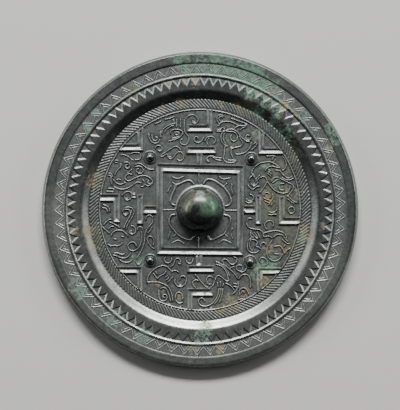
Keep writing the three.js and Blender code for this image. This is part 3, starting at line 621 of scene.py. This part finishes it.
    [(-40.4, 9.4), (-39.2, 9.5), (-37.9, 9.1)], [(-41.2, 8.2), (-39.6, 8.2), (-38.3, 8)],
]
for thread in THREADS:
    ridge(flowing(thread), THREAD_WIDTH, THREAD_HEIGHT, rubbed_and_highlight=0.24)

# ---- Surface of the back ----
# All the relief above is one cast skin, so it is one height over the disc, with a vertex wherever
# a line runs. Each vertex also carries how smooth its metal is, how rubbed, and painted highlight
# on crests and painted shade at ridge feet.

# (radius, smoothness): 0 for ground left as cast, 1 for metal turned and rubbed.
SMOOTHNESS = [(44.9, 0), (48.8, 0), (49.3, 1), (52.9, 1), (53.2, 0.7), (58.3, 0.7), (58.5, 0.1), (58.8, 0.8),
              (59.9, 0.8), (60.3, 0), (64.8, 0), (65.1, 0.5), (70, 0.5)]
# (radius, wear): the zigzag's ground is rubbed a little paler.
WEAR = [(60, 0), (60.4, 0.22), (64.8, 0.22), (65.1, 0)]
NOTCH_WEAR = 0.6
# Painted highlight: the bands' raised crests are painted pale, for the light their edges catch.
BAND_CREST_HIGHLIGHT = 0.6
# Painted shade: ridge feet are painted dark, standing in for the shade that lies along them.
FOOT_SHADE = -1
FOOT_WIDTH = 0.08    # of the line of painted shade at a ridge's foot, in half widths of the ridge
NOTCH_ROUGH = 0.5
BOSS_POLISH = 2
CREST_SHARE = 0.9    # how much of a ridge's half width is rubbed pale and painted as highlight
BAND_OVERLAP = 0.45  # how far the bands run in under the ring
SLIGHT = 0.02        # a difference in height that counts as none


def back_surface(places):
    """At each place: the back's height, how smooth and worn its metal is, with painted highlight on crests
    and painted shade at ridge feet, and whether it's on a band.
    """
    radius = np.hypot(*places.T)
    turn = (np.arctan2(places[:, 1], places[:, 0]) / math.tau) % 1
    cut = tooth_cut(radius, turn)
    ground = np.interp(radius, *zip(*LEVELS)) - cut * (BASE_BAND - TOOTH_FLOOR)
    relief = np.zeros(len(places))
    wear_and_painted_light = np.interp(radius, *zip(*WEAR)) + cut * NOTCH_WEAR
    for path, width, height, rubbed_and_highlight, flatness in ridges:
        near = np.all((places > path.min(0) - width) & (places < path.max(0) + width), 1)
        gap = to_segments(places[near], path) / (width / 2)
        relief[near] = np.maximum(relief[near], height * np.clip(1 - gap ** flatness, 0, 1))
        # Crests are rubbed pale, which is also their painted highlight; a thin line at each ridge's foot gets
        # painted shade.
        at_foot = (np.abs(gap - 1) < FOOT_WIDTH) & (wear_and_painted_light[near] <= 0)
        around = np.where(at_foot, FOOT_SHADE, wear_and_painted_light[near])
        wear_and_painted_light[near] = np.where(gap < CREST_SHARE, rubbed_and_highlight * (1 - gap), around)
    field = radius < RING_INSIDE + BAND_OVERLAP
    on_band = np.zeros(len(places))
    on_frame = inside(places, bands[0][0]) & ~inside(places, bands[0][1])
    for loops in bands:
        corners = np.vstack(loops)
        near = field & np.all((places > corners.min(0)) & (places < corners.max(0)), 1)
        raised = band_height(places[near], loops)
        if loops is not bands[0]:
            raised = np.where(on_frame[near], 0, raised)
        on_band[near] = np.maximum(on_band[near], raised > SLIGHT)
        # Painted highlight along the bands' crests.
        wear_and_painted_light[near] = np.where(raised > BAND_HEIGHT - SLIGHT, BAND_CREST_HIGHLIGHT, wear_and_painted_light[near])
        relief[near] = np.maximum(relief[near], raised)
    smoothness = np.interp(radius, *zip(*SMOOTHNESS)) * (1 - cut * NOTCH_ROUGH)
    for centre in BOSSES:
        stud = np.interp(np.hypot(*(places - centre).T), *zip(*BOSS_PROFILE))
        relief = np.maximum(relief, stud)
        smoothness = np.maximum(smoothness, np.clip(stud, 0, 1) * BOSS_POLISH)
    return ground + relief, smoothness, wear_and_painted_light, on_band


JOIN = 1e-4  # points closer than this become one
flat, _, triangles = delaunay_2d_cdt([Vector(p) for p in points], creases, [], 0, JOIN, False)[:3]
places = np.array([tuple(p) for p in flat])
triangles = np.array([tuple(t) for t in triangles])
height, smoothness, wear_and_painted_light, on_band = back_surface(places)
UNEVEN = 0.035
RIPPLE_SHARE = 0.3
SWAYS, RIPPLES = 0.13, 0.6  # waves to a millimetre
FADE = 1.5
sway = np.array([noise.noise(Vector((x * SWAYS, y * SWAYS, 0))) for x, y in places])
ripple = np.array([noise.noise(Vector((x * RIPPLES, y * RIPPLES, 4))) for x, y in places])
inner = np.clip((np.hypot(*places.T) - SEAT_FOOT) / FADE, 0, 1)
outer = np.clip((FLAT_END - np.hypot(*places.T)) / FADE, 0, 1)
height += (sway * UNEVEN + ripple * UNEVEN * RIPPLE_SHARE) * inner * outer
centres = places[triangles].mean(1)
triangles = triangles[np.hypot(*centres.T) > KNOB_HOLE]

# ---- Edge, polished face and knob ----
# The edge rounds over and leans out to the face, which is flat. The knob is a plain dome on a
# low round seat, with an arched passage right through it for a cord.
shell = bmesh.new()
smooth_layer = shell.verts.layers.float.new("smoothness")
wear_and_painted_light_layer = shell.verts.layers.float.new("wear_and_painted_light")
band_layer = shell.verts.layers.float.new("on_band")
back = [shell.verts.new((x * MM, y * MM, z * MM)) for (x, y), z in zip(places, height)]
for vert, *amounts in zip(back, smoothness, wear_and_painted_light, on_band):
    vert[smooth_layer], vert[wear_and_painted_light_layer], vert[band_layer] = amounts
for a, b, c in triangles:
    shell.faces.new((back[a], back[b], back[c]))


def loop_of(radius, height, steps):
    return [shell.verts.new((x * MM, y * MM, height * MM)) for x, y in circle(radius, steps)]


def walled(shape, rings):
    """Faces between rings of vertices, from each ring to the next."""
    for lower, upper in zip(rings, rings[1:]):
        for i in range(len(lower)):
            j = (i + 1) % len(lower)
            shape.faces.new((lower[i], lower[j], upper[j], upper[i]))


walled(shell, [loop_of(radius, height, RIM_STEPS) for radius, height in EDGE][::-1])

FACE_STEP = 2.6
FACE_MARGIN = 1.2
face_points = circle(FACE_RADIUS, RIM_STEPS)
face_radius = FACE_RADIUS - FACE_MARGIN
while face_radius > FACE_STEP:
    face_points += circle(face_radius, round(math.tau * face_radius / FACE_STEP))
    face_radius -= FACE_STEP * ROW_SHARE
face_points.append((0, 0))
flat, _, fans = delaunay_2d_cdt([Vector(p) for p in face_points], [], [], 0, JOIN, False)[:3]
face_verts = [shell.verts.new((p.x * MM, p.y * MM, 0)) for p in flat]
for fan in fans:
    shell.faces.new([face_verts[i] for i in reversed(fan)])

DOME_RADIUS = 9.6
DOME_FOOT = 4.0
DOME_RISE = 8.5
DOME_STEPS = 20
# (radius, height) up the seat and the dome. The lowest ring goes again once the knob is pierced.
KNOB_PROFILE = [(KNOB_HOLE, 0), (KNOB_HOLE, SEAT_TOP), (10.1, 2.875), (9.75, 2.9), (9.63, 3.1),
                (DOME_RADIUS, DOME_FOOT)]
for step in range(1, DOME_STEPS):
    tilt = math.pi / 2 * step / DOME_STEPS
    KNOB_PROFILE.append((DOME_RADIUS * math.cos(tilt), DOME_FOOT + DOME_RISE * math.sin(tilt)))
knob = bmesh.new()
knob_rings = [[knob.verts.new((x, y, z)) for x, y in circle(r, KNOB_STEPS)] for r, z in KNOB_PROFILE]
walled(knob, knob_rings)
crown = knob.verts.new((0, 0, DOME_FOOT + DOME_RISE))
for i in range(KNOB_STEPS):
    knob.faces.new((knob_rings[-1][i], knob_rings[-1][(i + 1) % KNOB_STEPS], crown))
knob.faces.new(list(reversed(knob_rings[0])))

PASSAGE_HALF = 3.0
PASSAGE_FLOOR = 2.93
PASSAGE_SPRING = 5.53  # where the arch springs from the walls
PASSAGE_CROWN = 2.3
PASSAGE_STEPS = 12
PASSAGE_ALONG = [-14, -9, -6, -3, 0, 3, 6, 9, 14]
arch = [(-PASSAGE_HALF, PASSAGE_FLOOR), (PASSAGE_HALF, PASSAGE_FLOOR)]
for step in range(PASSAGE_STEPS + 1):
    tilt = math.pi * step / PASSAGE_STEPS
    arch.append((PASSAGE_HALF * math.cos(tilt), PASSAGE_SPRING + PASSAGE_CROWN * math.sin(tilt)))
tunnel = bmesh.new()
tunnel_rings = [[tunnel.verts.new((x, y, z)) for x, z in arch] for y in PASSAGE_ALONG]
walled(tunnel, tunnel_rings)
tunnel.faces.new(list(reversed(tunnel_rings[0])))
tunnel.faces.new(tunnel_rings[-1])
for shape in (knob, tunnel):
    bmesh.ops.recalc_face_normals(shape, faces=shape.faces)


def as_object(shape, name):
    mesh = bpy.data.meshes.new(name)
    shape.to_mesh(mesh)
    shape.free()
    thing = bpy.data.objects.new(name, mesh)
    bpy.context.collection.objects.link(thing)
    return thing


knob_object = as_object(knob, "knob_blank")
tunnel_object = as_object(tunnel, "tunnel_cutter")
cut = knob_object.modifiers.new("passage", "BOOLEAN")
cut.operation = "DIFFERENCE"
cut.solver = "EXACT"
cut.object = tunnel_object
pierced = bmesh.new()
pierced.from_mesh(knob_object.evaluated_get(bpy.context.evaluated_depsgraph_get()).to_mesh())
for thing in (knob_object, tunnel_object):
    bpy.data.objects.remove(thing)
buried = [f for f in pierced.faces if min(v.co.z for v in f.verts) < FIELD - SLIGHT]
bmesh.ops.delete(pierced, geom=buried, context="FACES")
bmesh.ops.triangulate(pierced, faces=pierced.faces)
bmesh.ops.scale(pierced, vec=(MM, MM, MM), verts=pierced.verts)
pierced_mesh = bpy.data.meshes.new("pierced_knob")
pierced.to_mesh(pierced_mesh)
shell.from_mesh(pierced_mesh)
WELD = 0.002 * MM  # vertices closer than this become one
bmesh.ops.remove_doubles(shell, verts=shell.verts, dist=WELD)
bmesh.ops.triangulate(shell, faces=[f for f in shell.faces if len(f.verts) > 3])
SOFT_FOLD = math.radians(50)
CRISP_FOLD = math.radians(22)  # of the turned borders and the bands, which keep crisper edges
CRISP_FROM = 52
for vert in shell.verts:
    if vert.co.xy.length < KNOB_HOLE * MM or vert.co.xy.length > (FLAT_END - SLIGHT) * MM:
        vert[smooth_layer] = 1
for face in shell.faces:
    face.smooth = True
for edge in shell.edges:
    crisp = edge.verts[0].co.xy.length > CRISP_FROM * MM or edge.verts[0][band_layer] > 0.5
    edge.smooth = len(edge.link_faces) == 2 and edge.calc_face_angle() < (CRISP_FOLD if crisp else SOFT_FOLD)
mirror = as_object(shell, "bronze_mirror")

# ---- Aged bronze ----
# High-tin bronze turned dark grey by burial and handling. Turned parts are smooth and dark, the
# cast ground is rougher and paler, and crests are rubbed pale, which also paints their highlight;
# ridge feet get a line of painted shade, and the lower part of the back is painted paler as painted
# light. Green, olive and rust-brown crusts lie mostly towards the upper right, and the knob keeps a
# dark, glossy, part green skin, with painted shade over its lower half.


class Wire:
    """A socket of the bronze's nodes. Sums, differences and products of wires add Math nodes."""

    tree = None

    def __init__(self, socket):
        self.socket = socket

    @classmethod
    def node(cls, kind, settings=None, output=0, **inputs):
        """A node of that kind: first its settings, then its inputs, by name or as _0, _1 by number."""
        made = cls.tree.nodes.new(kind)
        for name, value in (settings or {}).items():
            setattr(made, name, value)
        for name, value in inputs.items():
            key = int(name[1:]) if name[0] == "_" else name.replace("_", " ")
            if isinstance(value, Wire):
                cls.tree.links.new(value.socket, made.inputs[key])
            else:
                made.inputs[key].default_value = value
        return cls(made.outputs[output])

    def _math(self, operation, first, second):
        return Wire.node("ShaderNodeMath", {"operation": operation}, _0=first, _1=second)

    def __add__(self, other):
        return self._math("ADD", self, other)

    __radd__ = __add__

    def __mul__(self, other):
        return self._math("MULTIPLY", self, other)

    __rmul__ = __mul__

    def __sub__(self, other):
        return self._math("SUBTRACT", self, other)

    def __rsub__(self, other):
        return self._math("SUBTRACT", other, self)


bronze = bpy.data.materials.new("aged_bronze")
bronze.use_nodes = True
Wire.tree = bronze.node_tree
Wire.tree.nodes.clear()


def ramp(value, low, high):
    """0 below low, 1 above high and smooth between."""
    return Wire.node("ShaderNodeMapRange", {"interpolation_type": "SMOOTHSTEP"},
                     Value=value, From_Min=low, From_Max=high)


def mottle(scale, detail=4.0, roughness=0.55):
    return Wire.node("ShaderNodeTexNoise", {}, Vector=place, Scale=scale, Detail=detail, Roughness=roughness)


def blended(share, below, above):
    colour_mix = {"data_type": "RGBA"}
    return Wire.node("ShaderNodeMix", colour_mix, output=2, _0=share, _6=below, _7=above)


place = Wire.node("ShaderNodeTexCoord", output=3)
flat_place = Wire.node("ShaderNodeVectorMath", {"operation": "MULTIPLY"}, _0=place, _1=(1, 1, 0))
smooth = Wire.node("ShaderNodeAttribute", {"attribute_name": "smoothness"}, output=2)
wear_and_painted_light = Wire.node("ShaderNodeAttribute", {"attribute_name": "wear_and_painted_light"}, output=2)


def spot_cover(spots):
    """How much the listed places are covered, by a crust or, for some lists, by painted light or shade: x, y
    and size in millimetres.
    """
    total = None
    for x, y, size in spots:
        away = Wire.node("ShaderNodeVectorMath", {"operation": "DISTANCE"}, output=1,
                         _0=flat_place, _1=(x * MM, y * MM, 0))
        here = 1 - ramp(away, size * SPOT_CORE * MM, size * SPOT_REACH * MM)
        total = here if total is None else total + here
    return Wire.node("ShaderNodeClamp", {}, Value=total, Max=FULL_SPOT)


SPOT_CORE, SPOT_REACH = 0.25, 1.25  # where a spot starts to thin and where it ends, in its sizes
FULL_SPOT = 0.9
OLIVE_SPOTS = [(34, 2, 12), (25, 34, 5), (34, 15, 7), (40, -12, 12), (33, 20, 9), (27, -30, 10),
               (12, -42, 9), (-48, -12, 7), (-46, 14, 7), (20, 45, 6), (-8, 46, 6), (42, 26, 6),
               (-30, 52, 6)]
GREEN_SPOTS = [(-8, 67, 6), (1, 66, 7), (10, 66, 7), (22, 64, 6), (-3, 62, 6), (8, 62, 6), (17, 60, 6),
               (26, 57, 6), (23, 52, 5), (29, 49, 5), (35, 46, 5), (33, 54, 5), (45, 42, 5), (57, 35, 4),
               (60, 31, 4), (-55, -33, 5), (-52, -37, 4), (25, 34, 3), (29, 19, 4), (34, 12, 3.5),
               (31, -24, 6), (26, -27, 5), (-28, -22, 4), (38, 34, 5), (33, 39, 4), (26, 43, 4),
               (-46, 43, 3), (-50, 37, 3), (46, -12, 4), (2, -52, 5), (0, -57, 5), (-38, -48, 6),
               (-25, -56, 5)]
RUST_SPOTS = [(-14.5, 56.3, 2.6), (-2, 57.3, 3.2), (-7, 57, 2), (25.5, 51.5, 2), (36, 44, 3), (31, 52, 3.5),
              (37, 47, 3), (42, 43, 3), (-9, 47.5, 3), (-17, 45, 3), (9.5, 46, 3), (16, 47, 3), (30, 5, 5),
              (41, 8, 4), (46, -6, 5), (48, -11, 4), (-48, 11, 4), (-47, 15, 3.5), (-49, -9, 4),
              (-46, -18, 4), (3, -50.5, 4), (9, -45, 3), (14, -39, 5), (20, -36, 4), (28, -31, 4),
              (-20, -32, 2.6), (-16, -34, 3), (-9, -38, 3), (54.5, -7, 3), (-55.5, -9, 3), (-3, -61, 4),
              (9, -61, 4), (37, -18, 4), (30, -17, 4), (57, 27, 3)]
# Painted light: broad patches over the lower part of the back, painted paler where the light falls brighter.
PAINTED_LIGHT_SPOTS = [(-12, -66, 28), (14, -64, 28), (-52, -42, 26), (-66, -8, 18), (0, -54, 22), (-34, -54, 24),
              (34, -56, 22), (58, -32, 18)]
# Mottlings of the metal, from clouds some 9 mm across down to single grains.
cloud = mottle(110.0)
blotch = mottle(380.0, 6.0, 0.7)
speck = mottle(900.0, 5.0, 0.7)
grain = mottle(1700.0, 3.0)
fine = (mottle(500.0, 7.0, 0.75) - 0.5) * 4
broken = (cloud - 0.5) + (blotch - 0.5) * 2.0 + (speck - 0.5) * 2.4
# Each crust thickens from nothing to whole between its two levels.
green = ramp(spot_cover(GREEN_SPOTS) + broken, 0.45, 1.25)
rust = ramp(spot_cover(RUST_SPOTS) * 0.9 + broken * 0.6 + (speck - 0.5) * 1.6, 0.5, 1.2)
olive = ramp(spot_cover(OLIVE_SPOTS) + broken * 1.3, 0.3, 1.3)
film = ramp(broken, -0.35, 0.35)
POLISHED = (0.125, 0.14, 0.137, 1)
POLISHED_FILM = (0.18, 0.198, 0.19, 1)
GROUND = (0.17, 0.186, 0.182, 1)
GROUND_FILM = (0.255, 0.276, 0.264, 1)
# rubbed pale: real wear on the zigzag ground and notches, and painted highlight on crests
RUBBED_AND_HIGHLIGHT = (0.36, 0.385, 0.365, 1)
# painted light for the paler lower part of the back
PAINTED_LIGHT_PALE = (0.34, 0.36, 0.33, 1)
# painted shade for the line along the ridges' feet
RIDGE_FOOT_SHADE = (0.045, 0.05, 0.048, 1)
OLIVE = (0.2, 0.2, 0.12, 1)
VERDIGRIS = (0.105, 0.245, 0.16, 1)
VERDIGRIS_DEEP = (0.05, 0.13, 0.08, 1)
RUST = (0.25, 0.185, 0.08, 1)
RUST_DEEP = (0.13, 0.085, 0.045, 1)
# How much of what is under it each layer hides.
PAINTED_LIGHT_COVER, PAINTED_LIGHT_FILM_COVER, OLIVE_COVER = 0.45, 0.5, 0.7
CRUST_COVER, RUBBED_AND_HIGHLIGHT_COVER, FOOT_SHADE_COVER = 0.85, 0.8, 0.6
cast, turned = blended(film, GROUND, GROUND_FILM), blended(film, POLISHED, POLISHED_FILM)
colour = blended(ramp(smooth, 0, 1), cast, turned)
# Painted light: the lower part of the back is painted paler in broad mottled patches.
colour = blended(spot_cover(PAINTED_LIGHT_SPOTS) * (PAINTED_LIGHT_COVER + film * PAINTED_LIGHT_FILM_COVER), colour, PAINTED_LIGHT_PALE)
colour = blended(olive * OLIVE_COVER, colour, OLIVE)
verdigris = blended(ramp(speck, 0.4, 0.6), VERDIGRIS_DEEP, VERDIGRIS)
verdigris = blended(ramp(mottle(600.0, 5.0, 0.7), 0.52, 0.62) * 0.6, verdigris, OLIVE)
colour = blended(green * CRUST_COVER, colour, verdigris)
colour = blended(rust * CRUST_COVER, colour, blended(ramp(speck, 0.4, 0.55), RUST_DEEP, RUST))
# Rubbed pale: real wear on the zigzag ground and notches; on ridge and band crests also painted highlight.
colour = blended(ramp(wear_and_painted_light, 0, 1) * RUBBED_AND_HIGHLIGHT_COVER, colour, RUBBED_AND_HIGHLIGHT)
# Painted shade: a dark line along the ridges' feet.
colour = blended(ramp(0 - wear_and_painted_light, 0, 1) * FOOT_SHADE_COVER, colour, RIDGE_FOOT_SHADE)

# The knob's own skin, with painted shade over its lower half: colour, spots, their strength, the mottling's,
# and the crust's two levels.
KNOB_BROWN = (0.042, 0.047, 0.036, 1)
KNOB_GREEN = (0.055, 0.14, 0.08, 1)
KNOB_OLIVE = (0.13, 0.14, 0.1, 1)
KNOB_PALE = (0.17, 0.24, 0.18, 1)
KNOB_STREAK = (0.085, 0.058, 0.042, 1)
KNOB_BLACK_AND_SHADE = (0.012, 0.014, 0.014, 1)
KNOB_SKIN = [
    (KNOB_GREEN, [(4.8, 0.4, 5.4), (2.5, 3.5, 4)], 0.8, 1, 0.1, 1.2),
    (KNOB_OLIVE, [(-6.2, 0.6, 3.6), (-3, 4.5, 4)], 0.8, 1, 0.3, 1.2),
    (KNOB_PALE, [(0.2, 6.9, 2.4)], 1, 0.7, 0.3, 1.2),
    (KNOB_STREAK, [(-3, 6.6, 1.2), (3.1, 6.8, 1.2)], 1, 0.7, 0.4, 1.1),
    # Black: the three larger spots, over the knob's lower half, are painted shade; the rest are small dark
    # marks.
    (KNOB_BLACK_AND_SHADE, [(-1.6, 0.8, 2.4), (-4, -4, 5), (2, -6, 5), (7, -5, 3.5), (-2.2, 8.3, 0.9), (2.9, 8.1, 0.9)],
     1, 1, 0.3, 0.9),
]
knob_colour = KNOB_BROWN
for tint, spots, strength, mottling, begins, whole in KNOB_SKIN:
    share = ramp(spot_cover(spots) * strength + fine * mottling, begins, whole)
    knob_colour = blended(share, knob_colour, tint)
from_middle = Wire.node("ShaderNodeVectorMath", {"operation": "LENGTH"}, output=1, _0=flat_place)
on_knob = 1 - ramp(from_middle, 9.3 * MM, 10 * MM)
colour = blended(on_knob, colour, knob_colour)

# What each part of the finish does to the roughness and to the metal's share.
BARE, POLISH, GRIT, CRUSTY, KNOB_GLOSS = 0.43, 0.08, 0.08, 0.15, 0.12
CRUST_DULLS, OLIVE_DULLS, KNOB_DULLS = 0.5, 0.2, 0.9
crusts = green + rust
roughness = BARE - smooth * POLISH + grain * GRIT + crusts * CRUSTY - on_knob * KNOB_GLOSS
metal = 1 - crusts * CRUST_DULLS - olive * OLIVE_DULLS - on_knob * KNOB_DULLS
pitting = (grain + speck) * 0.5 * (1 - smooth * 0.6)
PIT_STRENGTH, PIT_DEPTH = 0.3, 0.00015
bump = Wire.node("ShaderNodeBump", {}, Strength=PIT_STRENGTH, Distance=PIT_DEPTH, Height=pitting)
shader = Wire.node("ShaderNodeBsdfPrincipled", {},
                   Base_Color=colour, Roughness=roughness, Metallic=metal, Normal=bump)
Wire.tree.links.new(shader.socket, Wire.tree.nodes.new("ShaderNodeOutputMaterial").inputs["Surface"])
mirror.data.materials.append(bronze)
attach(mirror, "root")
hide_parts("mirror")

# ---- Floor, light and camera ----
# A plain pale table under the mirror. One broad soft light stands beyond the mirror's upper edge,
# two weak low ones stand at its sides, and the room gives little else.
FLOOR_SIZE = 3.0
FLOOR_GAP = 0.0002  # keeps the floor and the face from flickering through each other
PAPER = (0.5, 0.495, 0.48, 1)
bpy.ops.mesh.primitive_plane_add(size=FLOOR_SIZE, location=(0, 0, -FLOOR_GAP))
floor = bpy.context.object
floor.name = "floor"
paper = bpy.data.materials.new("pale_paper")
paper.use_nodes = True
paper.node_tree.nodes["Principled BSDF"].inputs["Base Color"].default_value = PAPER
paper.node_tree.nodes["Principled BSDF"].inputs["Roughness"].default_value = 0.9
floor.data.materials.append(paper)


def soft_light(name, bearing, rise, distance, size, power):
    """A lamp aimed at the mirror, at a bearing from +X towards +Y and a rise, both in degrees."""
    data = bpy.data.lights.new(name, "AREA")
    data.shape = "RECTANGLE"
    data.size, data.size_y = size
    data.energy = power
    bearing, rise = math.radians(bearing), math.radians(rise)
    level = distance * math.cos(rise)
    lamp = bpy.data.objects.new(name, data)
    lamp.location = (level * math.cos(bearing), level * math.sin(bearing), distance * math.sin(rise))
    lamp.rotation_euler = (-lamp.location).to_track_quat("-Z", "Y").to_euler()
    bpy.context.collection.objects.link(lamp)


soft_light("key_light", 88, 35.5, 2.2, (1.7, 0.35), 118)
soft_light("left_light", 160, 20, 2.0, (1.6, 0.4), 15)
soft_light("right_light", 20, 20, 2.0, (1.6, 0.4), 15)
ROOM_COLOUR = (0.9, 0.95, 1, 1)
ROOM_LIGHT = 0.022
world = bpy.data.worlds.new("room")
world.use_nodes = True
world.node_tree.nodes["Background"].inputs["Color"].default_value = ROOM_COLOUR
world.node_tree.nodes["Background"].inputs["Strength"].default_value = ROOM_LIGHT
bpy.context.scene.world = world

CAMERA_LENS, CAMERA_SENSOR = 250, 36
CAMERA_HEIGHT, CAMERA_UP = 1.261, 0.00216  # over the middle, and a little towards the upper edge
camera_data = bpy.data.cameras.new("camera")
camera_data.lens = CAMERA_LENS
camera_data.sensor_width = CAMERA_SENSOR
camera = bpy.data.objects.new("camera", camera_data)
camera.location = (0, CAMERA_UP, CAMERA_HEIGHT)
bpy.context.collection.objects.link(camera)
bpy.context.scene.camera = camera
